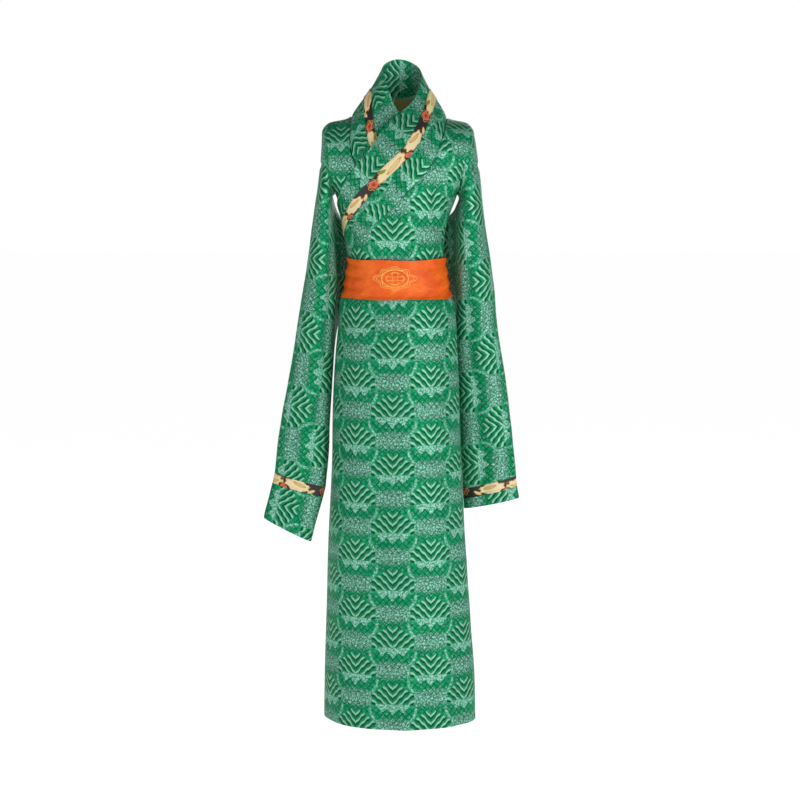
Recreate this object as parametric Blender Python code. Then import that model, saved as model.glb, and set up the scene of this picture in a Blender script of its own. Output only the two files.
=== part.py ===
"""Tibetan chuba robe in the shape it has when worn, with nobody in it.

The wearer faces -Y and +Z is up.  The origin is on the middle line, level with the shoulder tips,
where the shoulders carry the robe.  Sizes below are in millimetres and the meshes are in metres.
Every piece of cloth is a grid of points on its middle surface, thickened into a closed wall.
"""
import math

import bmesh
import bpy
from mathutils import Vector

# ------------------------------------------------------------------ driving sizes, millimetres
METRES_PER_MM = 0.001
CLOTH = 1.6                # wall of the brocade with its backing
TRIM_CLOTH = 1.2           # wall of the printed strip, the lining and the loop
SEAM_GAP = 0.3             # between pieces that are sewn edge to edge
HEM_HEIGHT = -1420.0
ARMPIT_HEIGHT = -155.0
SHOULDER_ROUND = 130.0     # drop below the shoulder line in which the cloth turns over to upright
ARMHOLE_SPREAD = 0.88      # how far towards the chest the armhole edge reaches at the shoulder tip
ARMHOLE_FULLNESS = 0.35    # how slowly it gets there from the armpit
OVERLAP_LIFT = 5.5         # the outer front lies this far in front of the inner one
SIDE_EASE = 2.0            # and the band stands off that much more where it turns round the side
SASH_LIFT = 12.0
SASH_OVERLAP_LIFT = 4.0
SIDE_LAP = 1.06            # the outer front goes just past the side, in shares of a quarter turn
SEAM_TO_TRIM = 54.0        # on the collar band
TRIM_WIDTH = 25.0
UNDERARM = 0.4             # share of the armhole in which the cloth folds back down the sleeve
UNDERARM_GAP = 2.2
RING_POINTS = 20
ARMHOLE_ROWS = RING_POINTS // 2
NECK_COLUMNS = 7           # of the back's grid, between the ends of the collar seam
SHOULDER_COLUMNS = 3       # of the same grid, along each shoulder seam
SLEEVE_JOIN = 6            # ring of a sleeve, counted from the armhole, where its two lengths meet


def table(columns, *rows):
    """Rows of numbers as dictionaries under their column names."""
    names = columns.split()
    return [dict(zip(names, row)) for row in rows]


# Robe below the armpits, level by level: ellipses with a deeper or shallower front and back half.
BODY = table(
    "height middle half_width front back",
    (-155, -4.0, 143.0, 112, 95),
    (-178, -4.0, 134.5, 112, 94),
    (-200, -4.0, 126.0, 111, 92),
    (-240, -5.5, 116.5, 106, 88),
    (-280, -5.0, 111.0, 99, 84),
    (-298, -3.0, 109.0, 96, 82),
    (-312, -3.0, 104.5, 91, 78),
    (-350, -3.0, 110.0, 91, 79),
    (-392, -3.0, 117.5, 93, 85),
    (-408, -1.0, 131.0, 103, 97),
    (-463, 1.0, 137.0, 111, 110),
    (-535, -1.0, 142.0, 116, 121),
    (-603, -1.5, 146.0, 118, 124),
    (-685, -1.5, 149.0, 120, 125),
    (-796, 0.0, 152.0, 121, 126),
    (-987, 1.0, 162.0, 124, 127),
    (-1145, 4.5, 169.5, 126, 128),
    (-1302, 8.0, 178.0, 128, 129),
    (-1420, 9.0, 181.0, 130, 130),
)
# Depth of the robe above the armpits.
CHEST = table(
    "height front back",
    (-155, 112, 95),
    (-80, 104, 95),
    (0, 94, 92),
    (60, 88, 90),
)
# Armhole edge, by share of the way from the armpit to the shoulder tip.
ARMHOLE = table(
    "share middle half_width",
    (0.00, -4.0, 143.0),
    (0.10, -5.0, 148.0),
    (0.26, -5.0, 154.0),
    (0.56, -1.0, 162.0),
    (0.90, 1.5, 174.0),
    (1.00, 0.0, 178.0),
)
SHOULDER = table(
    "from_middle height",
    (0, 60),
    (60, 51),
    (100, 33),
    (120, 21),
    (160, 12),
    (171, 4),
    (178, -7),
    (195, -40),
)
# Seam between each front and the collar band: in millimetres across above the armpits, and in
# degrees round the body, 0 at the middle of the front, below them.
OUTER_SEAM = table(
    "height across",
    (30, 119),
    (0, 111.5),
    (-50, 95),
    (-100, 71),
    (-135, 36),
    (-155, 17),
)
OUTER_SEAM_TURN = table(
    "height turn",
    (-155, 8.4),
    (-178, 0.4),
    (-198, -9),
    (-214, -17.5),
    (-230, -28),
    (-246, -39),
    (-262, -50),
    (-276, -59.5),
    (-290, -69),
    (-304, -77.5),
    (-325, -87),
    (-350, -95.4),
)
INNER_SEAM = table(
    "height across",
    (30, -110),
    (0, -111.5),
    (-48, -112),
    (-80, -103),
    (-110, -81),
    (-155, -37),
)
INNER_SEAM_TURN = table(
    "height turn",
    (-155, -13.3),
    (-178, -4.3),
    (-198, 5),
    (-214, 12.5),
    (-230, 21),
    (-246, 30),
    (-262, 38),
    (-276, 46),
    (-290, 52),
    (-304, 57),
    (-350, 60),
    (-420, 48),
    (-600, 42),
    (-1420, 35),
)
# Free edge of the collar band opposite each point of its seam.  stand is 0 where the band lies on
# the chest and 1 where it stands free round the neck.
OUTER_FREE = table(
    "height free_x free_y free_z stand",
    (-350, -170, 0, -341, 0),
    (-325, -170, 0, -300, 0),
    (-304, -170, 0, -264, 0),
    (-276, -160, 0, -220, 0),
    (-262, -150, 0, -203, 0),
    (-246, -143, 0, -185, 0),
    (-230, -137, 0, -166, 0),
    (-205, -122, 0, -131, 0),
    (-178, -96, 0, -92, 0),
    (-155, -74, 0, -66, 0),
    (-135, -56, -82, -43, 0),
    (-100, -35, -80, -8, 0),
    (-75, -15, -74, 13, 0.15),
    (-50, 10, -68, 35, 0.5),
    (-25, 33, -56, 56, 0.85),
    (0, 47, -38, 80, 1),
    (25, 54, -12, 112, 1),
)
INNER_FREE = table(
    "height free_x free_y free_z stand",
    (-350, 160, 0, -320, 0),
    (-300, 160, 0, -275, 0),
    (-260, 160, 0, -205, 0),
    (-225, 134, 0, -145, 0),
    (-190, 114, 0, -98, 0),
    (-155, 90, 0, -62, 0),
    (-125, 66, -70, -31, 0),
    (-100, 40, -66, -4, 0.1),
    (-75, 15, -60, 19, 0.5),
    (-48, -4, -52, 42, 0.9),
    (-25, -14, -42, 62, 1),
    (0, -22, -30, 90, 1),
    (30, -33, -12, 118, 1),
)
BACK_FREE = table(
    "across free_x free_y free_z",
    (-112, -33, -12, 118),
    (-92, -38, 8, 139),
    (-65, -32, 28, 151),
    (-30, -15, 41, 161),
    (0, 3, 45, 166),
    (30, 24, 41, 160),
    (65, 46, 28, 147),
    (95, 56, 8, 131),
    (119, 54, -12, 112),
)
NECK_BULGE = 5.0           # outward swell of the standing collar halfway up
STANDING_STEP = 2.0        # rise of the standing collar's seam over the panel's middle surface
BAND_END_HEIGHT = -350     # both ends of the band are under the sash
BAND_END_STEP = 0.1        # share of one row by which its outer end clears the front's corner
BACK_NECK_HEIGHT = 16.0    # collar seam at the middle of the back
INNER_LIMIT = 0.78         # the under layer of the collar stops short of the far side
LOOP_ACROSS = -13.0
LOOP_RADIUS = 4.5
LOOP_DROP = 12.0
LOOP_TAPE = 3.0
LOOP_STAND_OFF = 5.0
NECK_LEFT = 118.0          # where the wearer's left shoulder seam meets the collar
NECK_RIGHT = -110.5        # and the right one

# Sleeve cross-sections: the outer and inner end of each, its middle depth, its half depth, and how
# far its back half tucks in behind the body.
SLEEVE_LEFT = table(
    "outer_x outer_z inner_x inner_z mid_y half_depth tuck",
    (184.6, -44.5, 146, -166, 0, 63, 0),
    (193, -107, 142, -186, 2, 66, 6),
    (202, -185, 139, -216, 5, 66, 22),
    (213, -265, 140, -297, 8, 61, 36),
    (226.5, -361, 139, -361, 12, 55, 36),
    (240, -475, 139, -475, 26, 44, 6),
    (262, -622, 145.5, -627, 38, 36, 0),
    (279, -743, 153, -755, 42, 31, 0),
    (286, -835, 158, -867, 44, 27, 0),
)
SLEEVE_RIGHT = table(
    "outer_x outer_z inner_x inner_z mid_y half_depth tuck",
    (-180, -51.5, -155, -160, 0, 63, 0),
    (-185.5, -110, -155, -178, 2, 66, 4),
    (-194, -174, -154, -211, 4, 66, 18),
    (-211, -280, -148, -297, 6, 60, 34),
    (-227.5, -396, -146, -406, 8, 52, 28),
    (-258.5, -574, -157, -578, 8, 40, 2),
    (-287.5, -743, -166, -748, 2, 30, 0),
    (-297.5, -821, -175, -855, -2, 26, 0),
)
# Ends of the printed strip and of the brocade below it, as sleeve cross-sections.
CUFF_LEFT = table(
    "outer_x outer_z inner_x inner_z mid_y half_depth tuck",
    (288.5, -860, 159.5, -892, 44, 26, 0),
    (295, -890, 162, -916, 45, 25, 0),
)
CUFF_RIGHT = table(
    "outer_x outer_z inner_x inner_z mid_y half_depth tuck",
    (-302, -845, -181, -879, -3, 25, 0),
    (-322.5, -931, -210.5, -989, -5, 21, 0),
)

UPPER_SHARES = [0.5 - 0.5 * math.cos(math.pi * i / ARMHOLE_ROWS) for i in range(ARMHOLE_ROWS + 1)]
BODICE_HEIGHTS = [-304, -290, -276, -262, -246, -230, -214, -198, -178, -155]
SKIRT_HEIGHTS = [HEM_HEIGHT, -1100, -820, -620, -480, -425, -408, -392, -350, -325]
SASH_TOP = -304.0
SASH_BOTTOM = -397.5
SASH_FRONT_DROOP = 5.0


# ------------------------------------------------------------------ reading the tables
def read(rows, key, at, column):
    """A smooth curve through one column of a table, read at one place of its key column."""
    ordered = sorted(rows, key=lambda row: row[key])
    keys = [row[key] for row in ordered]
    values = [row[column] for row in ordered]
    if at <= keys[0]:
        return values[0]
    if at >= keys[-1]:
        return values[-1]
    slopes = []
    for i in range(len(keys)):
        low = max(i - 1, 0)
        high = min(i + 1, len(keys) - 1)
        slopes.append((values[high] - values[low]) / (keys[high] - keys[low]))
    i = max(n for n in range(len(keys) - 1) if keys[n] <= at)
    step = keys[i + 1] - keys[i]
    t = (at - keys[i]) / step
    return (
        (2 * t ** 3 - 3 * t ** 2 + 1) * values[i]
        + (t ** 3 - 2 * t ** 2 + t) * step * slopes[i]
        + (3 * t ** 2 - 2 * t ** 3) * values[i + 1]
        + (t ** 3 - t ** 2) * step * slopes[i + 1]
    )


def ease(share):
    """0 to 1 with level ends."""
    share = min(1.0, max(0.0, share))
    return share * share * (3 - 2 * share)


# ------------------------------------------------------------------ the form of the worn robe
def shoulder_height(x):
    return read(SHOULDER, "from_middle", abs(x), "height")


def turn_over(x, z):
    """0 on the shoulder line, 1 where the cloth hangs upright below it."""
    share = min(1.0, max(0.0, (shoulder_height(x) - z) / SHOULDER_ROUND))
    return math.sqrt(1 - (1 - share) ** 2)


def upper_point(across, share, side, top=shoulder_height):
    """Above the armpits.  across runs from -1 to 1 between the armholes, share from the armpit
    level to the top line, and side is -1 for the front and 1 for the back."""
    edge = math.acos(ARMHOLE_SPREAD * share ** ARMHOLE_FULLNESS)
    half_width = read(ARMHOLE, "share", share, "half_width") / math.sin(edge)
    angle = across * edge
    x = read(ARMHOLE, "share", share, "middle") + half_width * math.sin(angle)
    z = ARMPIT_HEIGHT + share * (top(x) - ARMPIT_HEIGHT)
    depth = read(CHEST, "height", z, "back" if side > 0 else "front")
    return Vector((x, side * depth * math.cos(angle) * turn_over(x, z), z))


def body_point(across, height, side):
    """The robe's surface at a height; across is -1 to 1 from side seam to side seam."""
    if height <= ARMPIT_HEIGHT:
        angle = across * math.pi / 2
        x = read(BODY, "height", height, "middle")
        x += read(BODY, "height", height, "half_width") * math.sin(angle)
        depth = read(BODY, "height", height, "back" if side > 0 else "front")
        return Vector((x, side * depth * math.cos(angle), height))
    share = (height - ARMPIT_HEIGHT) / (shoulder_height(0) - ARMPIT_HEIGHT)
    for _ in range(12):
        share = min(1.0, share)
        x = upper_point(across, share, side).x
        share = (height - ARMPIT_HEIGHT) / (shoulder_height(x) - ARMPIT_HEIGHT)
    return upper_point(across, min(1.0, share), side)


def raised(across, height, side, lift):
    """A point of the robe's surface, moved out square to it."""
    point = body_point(across, height, side)
    along = body_point(across + 0.002, height, side) - point
    down = body_point(across, height - 0.5, side) - point
    normal = along.cross(down).normalized() * side
    return point + normal * lift


def across_at(x, height):
    """The across value whose front point is at x."""
    low = -SIDE_LAP
    high = SIDE_LAP
    for _ in range(30):
        middle = (low + high) / 2
        if body_point(max(-1.0, min(1.0, middle)), height, -1).x < x:
            low = middle
        else:
            high = middle
    return (low + high) / 2


def overlap_lift(across, height):
    """The outer front's distance from the inner one: none at its side seam and the shoulder."""
    x = body_point(max(-1.0, min(1.0, across)), height, -1).x
    from_seam = ease((1 - across) / 0.22)
    from_shoulder = ease((shoulder_height(x) - height) / 45)
    return OVERLAP_LIFT * from_seam * from_shoulder


# ------------------------------------------------------------------ walls of cloth
def grid_normals(grid, ring):
    """Normals of a grid of points; ring says that its rows close on themselves."""
    count = len(grid[0])
    normals = []
    for i, row in enumerate(grid):
        below = grid[max(i - 1, 0)]
        above = grid[min(i + 1, len(grid) - 1)]
        line = []
        for j in range(count):
            if ring:
                along = row[(j + 1) % count] - row[j - 1]
            else:
                along = row[min(j + 1, count - 1)] - row[max(j - 1, 0)]
            line.append(along.cross(above[j] - below[j]).normalized())
        normals.append(line)
    return normals


def panel_normals(grid):
    """Normals of a front or back; where it meets its neighbour on the middle plane they lie in
    that plane, so that the two walls end flush."""
    normals = grid_normals(grid, False)
    for i, row in enumerate(grid):
        for j, point in enumerate(row):
            if abs(point.y) < SEAM_GAP:
                normals[i][j].y = 0
                normals[i][j].normalize()
    return normals


def wall(name, grid, colour, thickness=CLOTH, ring=False, normals=None, roughness=0.6):
    """A closed wall of cloth with the grid as its middle surface.  Rows go up and points go from
    -X to +X on the front, so that the normals point out."""
    rows = len(grid)
    count = len(grid[0])
    normals = normals or grid_normals(grid, ring)
    mesh = bmesh.new()
    faces = []
    for direction in (0.5, -0.5):
        faces.append([[
            mesh.verts.new((grid[i][j] + normals[i][j] * thickness * direction) * METRES_PER_MM)
            for j in range(count)] for i in range(rows)])
    outer, inner = faces
    spans = range(count if ring else count - 1)
    for i in range(rows - 1):
        for j in spans:
            k = (j + 1) % count
            mesh.faces.new((outer[i][j], outer[i][k], outer[i + 1][k], outer[i + 1][j]))
            mesh.faces.new((inner[i][j], inner[i + 1][j], inner[i + 1][k], inner[i][k]))
    for j in spans:
        k = (j + 1) % count
        mesh.faces.new((inner[0][j], inner[0][k], outer[0][k], outer[0][j]))
        mesh.faces.new((outer[-1][j], outer[-1][k], inner[-1][k], inner[-1][j]))
    if not ring:
        for i in range(rows - 1):
            mesh.faces.new((outer[i][0], outer[i + 1][0], inner[i + 1][0], inner[i][0]))
            mesh.faces.new((inner[i][-1], inner[i + 1][-1], outer[i + 1][-1], outer[i][-1]))
    bmesh.ops.triangulate(mesh, faces=mesh.faces[:])
    data = bpy.data.meshes.new(name)
    mesh.to_mesh(data)
    mesh.free()
    data.shade_smooth()
    data.set_sharp_from_angle(angle=math.radians(50))
    piece = bpy.data.objects.new(name, data)
    bpy.context.scene.collection.objects.link(piece)
    data.materials.append(cloth_material(name, colour, roughness))
    return piece


def turned(grid):
    return [list(reversed(row)) for row in grid]


def make_in_two(names, grid, normals, join, ring=False):
    """One cut piece as a lower and an upper wall that meet along one row, a seam gap apart."""
    ends = []
    for other in (join - 1, join + 1):
        ends.append([
            point + (grid[other][j] - point).normalized() * SEAM_GAP / 2
            for j, point in enumerate(grid[join])])
    below = grid[:join] + [ends[0]]
    above = [ends[1]] + grid[join + 1:]
    wall(names[0], below, BROCADE, ring=ring, normals=normals[:join + 1])
    wall(names[1], above, BROCADE, ring=ring, normals=normals[join:])


def cloth_material(name, colour, roughness):
    material = bpy.data.materials.new(name + "_cloth")
    material.use_nodes = True
    shader = material.node_tree.nodes["Principled BSDF"]
    shader.inputs["Base Color"].default_value = (*colour, 1.0)
    shader.inputs["Roughness"].default_value = roughness
    shader.inputs["Metallic"].default_value = 0.0
    return material


BROCADE = (0.02, 0.30, 0.14)
PRINT = (0.45, 0.28, 0.12)
OLIVE = (0.09, 0.10, 0.03)
CREAM = (0.75, 0.66, 0.42)
ORANGE = (0.80, 0.10, 0.01)


# ------------------------------------------------------------------ fronts and back
def side_edge(across, depth):
    """Pull a side edge back so that front and back end half a seam gap from each other."""
    inset = SEAM_GAP / 2 / depth / (math.pi / 2)
    return max(-1 + inset, min(1 - inset, across))


def panel_row(left, right, columns, height=None, share=None, side=-1, top=shoulder_height):
    """One row of a panel; left and right are across values."""
    points = []
    for j in range(columns + 1):
        across = left + (right - left) * j / columns
        if share is None:
            points.append(body_point(across, height, side))
        else:
            point = upper_point(across, share, side, top)
            if share == 1.0 and top is shoulder_height:
                point.y = side * SEAM_GAP / 2
            points.append(point)
    return points


def seam_across(seam, turns, height=None, share=None):
    """The across value at which a row of the front meets its collar seam."""
    if share is None:
        return math.radians(read(turns, "height", height, "turn")) / (math.pi / 2)
    low = -1.0
    high = 1.0
    for _ in range(40):
        middle = (low + high) / 2
        point = upper_point(middle, share, -1)
        if point.x < read(seam, "height", point.z, "across"):
            low = middle
        else:
            high = middle
    return (low + high) / 2


def front_rows():
    """Every row of a front, as (height, share), from the hem up."""
    rows = [(height, None) for height in SKIRT_HEIGHTS + BODICE_HEIGHTS]
    rows += [(None, share) for share in UPPER_SHARES[1:]]
    return rows


def lifted(grid, lifts):
    normals = grid_normals(grid, False)
    return [[
        point + normals[i][j] * lifts[i][j]
        for j, point in enumerate(row)] for i, row in enumerate(grid)]


def outer_front_grid(columns=12):
    grid = []
    lifts = []
    for height, share in front_rows():
        right = side_edge(1.0, read(BODY, "height", height, "front")) if share is None else 1.0
        left = seam_across(OUTER_SEAM, OUTER_SEAM_TURN, height, share)
        row = panel_row(left, right, columns, height, share)
        grid.append(row)
        lifts.append([
            overlap_lift(left + (right - left) * j / columns, point.z)
            for j, point in enumerate(row)])
    return lifted(grid, lifts)


def inner_front_grid(columns=10):
    grid = []
    for height, share in front_rows():
        left = side_edge(-1.0, read(BODY, "height", height, "front")) if share is None else -1.0
        right = seam_across(INNER_SEAM, INNER_SEAM_TURN, height, share)
        grid.append(panel_row(left, right, columns, height, share))
    return grid


def back_top(x):
    """Top line of the back: the shoulder seams, and the collar seam between them."""
    edge = NECK_LEFT if x > 0 else NECK_RIGHT
    if abs(x) >= abs(edge):
        return shoulder_height(x)
    return BACK_NECK_HEIGHT + (shoulder_height(edge) - BACK_NECK_HEIGHT) * (x / edge) ** 2


def back_columns():
    """Across values of the back, with a column on each end of the collar seam."""
    edge = math.acos(ARMHOLE_SPREAD)
    tip = read(ARMHOLE, "share", 1, "half_width")
    right = math.asin(NECK_RIGHT * math.sin(edge) / tip) / edge
    left = math.asin(NECK_LEFT * math.sin(edge) / tip) / edge
    count = NECK_COLUMNS
    shares = [0.5 - 0.5 * math.cos(math.pi * j / count) for j in range(count + 1)]
    neck = [right + (left - right) * share for share in shares]
    ends = [(j + 1) / SHOULDER_COLUMNS for j in range(SHOULDER_COLUMNS)]
    return (
        [right + (-1 - right) * share for share in reversed(ends)]
        + neck
        + [left + (1 - left) * share for share in ends])


def back_grid():
    grid = []
    for height, share in front_rows():
        row = []
        for across in back_columns():
            if share is None:
                edge = side_edge(across, read(BODY, "height", height, "back"))
                row.append(body_point(edge, height, 1))
            else:
                point = upper_point(across, share, 1, back_top)
                if share == 1.0:
                    point.y = max(point.y, SEAM_GAP / 2)
                row.append(point)
        grid.append(row)
    return grid


# ------------------------------------------------------------------ collar band
def wrap_angle(x, height):
    """The turn round the body, 0 at the front and a quarter turn at the side, of a point at x."""
    level = min(height, ARMPIT_HEIGHT)
    share = (x - read(BODY, "height", level, "middle")) / read(BODY, "height", level, "half_width")
    if abs(share) <= 1:
        return math.asin(share)
    return math.copysign(min(math.pi / 2 + abs(share) - 1, SIDE_LAP * math.pi / 2), share)


def across_of_angle(angle, height):
    """The across value of a turn round the body; the two only differ above the armpits."""
    if height <= ARMPIT_HEIGHT:
        return angle / (math.pi / 2)
    x = read(BODY, "height", ARMPIT_HEIGHT, "middle")
    x += read(BODY, "height", ARMPIT_HEIGHT, "half_width") * math.sin(angle)
    return across_at(x, height)


def seam_turn(place, height, share):
    """The turn round the body of a panel's seam edge."""
    if share is None:
        return place * math.pi / 2
    return wrap_angle(upper_point(place, share, -1).x, ARMPIT_HEIGHT)


def front_station(seam_end, seam_angle, free_rows, limit, outer):
    """One line across the band from its seam on a front to its free edge."""
    height = seam_end.z
    free_x, free_y, free_z, stand = [
        read(free_rows, "height", height, name) for name in ("free_x", "free_y", "free_z", "stand")]
    free_height = min(free_z, shoulder_height(free_x) - 2)
    side = limit * math.pi / 2
    seam_angle = max(-side, min(side, seam_angle))
    free_angle = max(-side, min(side, wrap_angle(free_x, free_height)))
    free_point = Vector((free_x, free_y, free_z))

    def lying(share):
        angle = seam_angle + (free_angle - seam_angle) * share
        level = height + (free_height - height) * share
        across = across_of_angle(angle, level)
        if not outer:
            return raised(across, level, -1, 0.0)
        ease_out = SIDE_EASE * ease((-across - 0.5) / 0.3) * ease(share * 3)
        return raised(across, level, -1, overlap_lift(across, level) + ease_out)

    miss = seam_end - lying(0)

    def at(share):
        on_chest = lying(share) + miss * (1 - share)
        return on_chest.lerp(neck_point(seam_end, free_point, share), stand)

    return at


def neck_point(seam_end, free_point, share):
    """A point of the standing collar: straight up from the seam with an outward swell."""
    away = Vector((seam_end.x, seam_end.y, 0)).normalized()
    swell = away * NECK_BULGE * 4 * share * (1 - share)
    return seam_end.lerp(free_point, share) + swell


def back_station(seam_end):
    free_point = Vector([
        read(BACK_FREE, "across", seam_end.x, name) for name in ("free_x", "free_y", "free_z")])

    def at(share):
        return neck_point(seam_end, free_point, share)

    return at


def band_line(at):
    """Points of one line across the band from its free edge to its seam, with the trim's two edges
    among them, and the band's width there."""
    fine = [at(i / 20) for i in range(21)]
    width = sum((b - a).length for a, b in zip(fine, fine[1:]))
    low = min(SEAM_TO_TRIM / width, 0.86)
    high = min((SEAM_TO_TRIM + TRIM_WIDTH) / width, 0.94)
    shares = (1, (high + 1) / 2, high, (low + high) / 2, low, low / 2, 0)
    return [at(share) for share in shares], width


def seam_point(grid, i, edge, inside, stand):
    """The band's end of a seam: the panel's edge point, moved off the panel, and up where the band
    stands on it."""
    away = (grid[i][edge] - grid[i][inside]).normalized()
    step = away * (SEAM_GAP * 1.5 + CLOTH * 0.6 * stand)
    return grid[i][edge] + step + Vector((0, 0, STANDING_STEP * stand))


def band_grid(outer_front, inner_front, back):
    """Lines across the band: up the outer front, round the back of the neck, down the inner."""
    first = SKIRT_HEIGHTS.index(BAND_END_HEIGHT)
    rows = front_rows()
    crowded = len(rows) - 2  # this row of the outer front lies too near the one above it
    stations = []
    for i in range(first, len(rows)):
        if i == crowded:
            continue
        stand = read(OUTER_FREE, "height", outer_front[i][0].z, "stand")
        end = seam_point(outer_front, i, 0, 1, stand)
        if i == first:
            end = end.lerp(seam_point(outer_front, i + 1, 0, 1, stand), BAND_END_STEP)
        angle = seam_turn(seam_across(OUTER_SEAM, OUTER_SEAM_TURN, *rows[i]), *rows[i])
        stations.append(front_station(end, angle, OUTER_FREE, SIDE_LAP, True))
    back_edge = back[-1]
    begin = len(back_edge) - SHOULDER_COLUMNS - 2
    for j in range(begin, SHOULDER_COLUMNS, -1):
        stations.append(back_station(back_edge[j] + Vector((0, 0, STANDING_STEP))))
    for i in reversed(range(first, len(rows))):
        stand = read(INNER_FREE, "height", inner_front[i][-1].z, "stand")
        end = seam_point(inner_front, i, -1, -2, stand)
        angle = seam_turn(seam_across(INNER_SEAM, INNER_SEAM_TURN, *rows[i]), *rows[i])
        stations.append(front_station(end, angle, INNER_FREE, INNER_LIMIT, False))
    lines = [band_line(at) for at in stations]
    return [line for line, _ in lines], [width for _, width in lines]


def on_band(band, first, last, columns, distance):
    """A piece that lies on the band: some of its points, moved out by a distance."""
    normals = grid_normals(band, False)
    return [[
        band[i][j] + normals[i][j] * distance
        for j in columns] for i in range(first, last + 1)]


def make_trim(band, widths):
    wide = [i for i, width in enumerate(widths) if width > SEAM_TO_TRIM + TRIM_WIDTH / 2]
    strip = on_band(band, wide[0], wide[-1], (2, 3, 4), CLOTH / 2 + SEAM_GAP + TRIM_CLOTH / 2)
    wall("collar_trim", strip, PRINT, thickness=TRIM_CLOTH)


def make_lining(band):
    """The lining inside the lower part of the collar, round the back of the neck."""
    first = len(SKIRT_HEIGHTS) - SKIRT_HEIGHTS.index(BAND_END_HEIGHT)
    first += len(BODICE_HEIGHTS) + ARMHOLE_ROWS - 2
    last = first + NECK_COLUMNS
    lining = on_band(band, first, last, (4, 5, 6), -(CLOTH / 2 + SEAM_GAP + TRIM_CLOTH / 2))
    for row in lining:
        row[2] = row[2].lerp(row[1], 0.06)
    wall("neck_lining", lining, OLIVE, thickness=TRIM_CLOTH)
    return lining


def make_loop(lining):
    """A flat tape, sewn in at the lining's top edge, that hangs in a U."""
    middle = min((row[0] for row in lining), key=lambda point: abs(point.x - LOOP_ACROSS))
    centre = Vector((LOOP_ACROSS, middle.y - LOOP_STAND_OFF, middle.z + 1))
    tape = []
    for i in range(9):
        angle = math.pi * i / 8
        arm = Vector((math.cos(angle), 0, -LOOP_DROP / LOOP_RADIUS * math.sin(angle)))
        tape.append([centre + arm * (LOOP_RADIUS + side) for side in (-LOOP_TAPE / 2, LOOP_TAPE / 2)])
    wall("hanger_loop", tape, CREAM, thickness=TRIM_CLOTH)


# ------------------------------------------------------------------ sleeves
def armhole_ring(front, back, edge, inside):
    """Points of the sleeve's first ring: the armhole edges of the front and the back, moved a seam
    gap outwards, from the shoulder tip over the back to the armpit and up the front, and their
    normals, which fade out under the arm.  front and back are pairs of a grid and its normals."""
    first = len(front[0]) - 1 - ARMHOLE_ROWS
    points = []
    normals = []
    for j in range(RING_POINTS):
        row = first + abs(ARMHOLE_ROWS - j)
        panels = [back] if 0 < j < ARMHOLE_ROWS else [front]
        if j in (0, ARMHOLE_ROWS):
            panels = [front, back]
        point = Vector()
        normal = Vector()
        for grid, grid_normal in panels:
            upper = ease(UPPER_SHARES[row - first] / UNDERARM)
            seam = (grid[row][edge] - grid[row][inside]).normalized() * SEAM_GAP
            fold = Vector((math.copysign(UNDERARM_GAP, grid[row][edge].x), 0, 0))
            point += (grid[row][edge] + fold.lerp(seam, upper)) / len(panels)
            normal += grid_normal[row][edge] * upper
        points.append(point)
        normals.append(normal.normalized() * upper)
    return points, normals


def sleeve_ring(row):
    outer = Vector((row["outer_x"], row["mid_y"], row["outer_z"]))
    inner = Vector((row["inner_x"], row["mid_y"], row["inner_z"]))
    middle = (outer + inner) / 2
    half = (outer - inner) / 2
    inward = -half.normalized()
    points = []
    for j in range(RING_POINTS):
        angle = 2 * math.pi * j / RING_POINTS
        back = max(0.0, math.sin(angle))
        tuck = row["tuck"] * back ** 2 * (1 - math.cos(angle)) / 1.2
        point = middle + half * math.cos(angle) + inward * tuck
        point.y += row["half_depth"] * math.sin(angle)
        points.append(point)
    return points


def sleeve_grid(armhole, rows):
    rings = [armhole] + [sleeve_ring(row) for row in rows]
    grid = [rings[0]]
    for i, (first, second) in enumerate(zip(rings, rings[1:])):
        if i < 2:
            grid.append([a.lerp(b, 0.5) for a, b in zip(first, second)])
        grid.append(second)
    return grid


def apart(ring, other, gap):
    """A ring moved towards another by a gap."""
    return [a + (b - a).normalized() * gap for a, b in zip(ring, other)]


def upright(rings, sign):
    """Rings from the cuff up, in the order round that gives outward normals."""
    rows = list(reversed(rings))
    if sign > 0:
        return rows
    return [[row[-j % len(row)] for j in range(len(row))] for row in rows]


def make_sleeve(side, sign, armhole, rows, cuff_rows):
    ring, ring_normals = armhole
    grid = upright(sleeve_grid(ring, rows), sign)
    normals = grid_normals(grid, True)
    normals[-1] = [
        (own * (1 - panel.length) + panel).normalized()
        for own, panel in zip(normals[-1], upright([ring_normals], sign)[0])]
    names = ("sleeve_" + side + "_lower", "sleeve_" + side + "_upper")
    make_in_two(names, grid, normals, len(grid) - 1 - SLEEVE_JOIN, ring=True)
    end = sleeve_ring(rows[-1])
    trim_end = sleeve_ring(cuff_rows[0])
    cuff_end = sleeve_ring(cuff_rows[1])
    trim = [apart(end, trim_end, SEAM_GAP), trim_end]
    wall("cuff_trim_" + side, upright(trim, sign), PRINT, ring=True)
    cuff_top = apart(trim_end, cuff_end, SEAM_GAP)
    middle = [a.lerp(b, 0.5) for a, b in zip(cuff_top, cuff_end)]
    wall("cuff_" + side, upright([cuff_top, middle, cuff_end], sign), BROCADE, ring=True)


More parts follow.
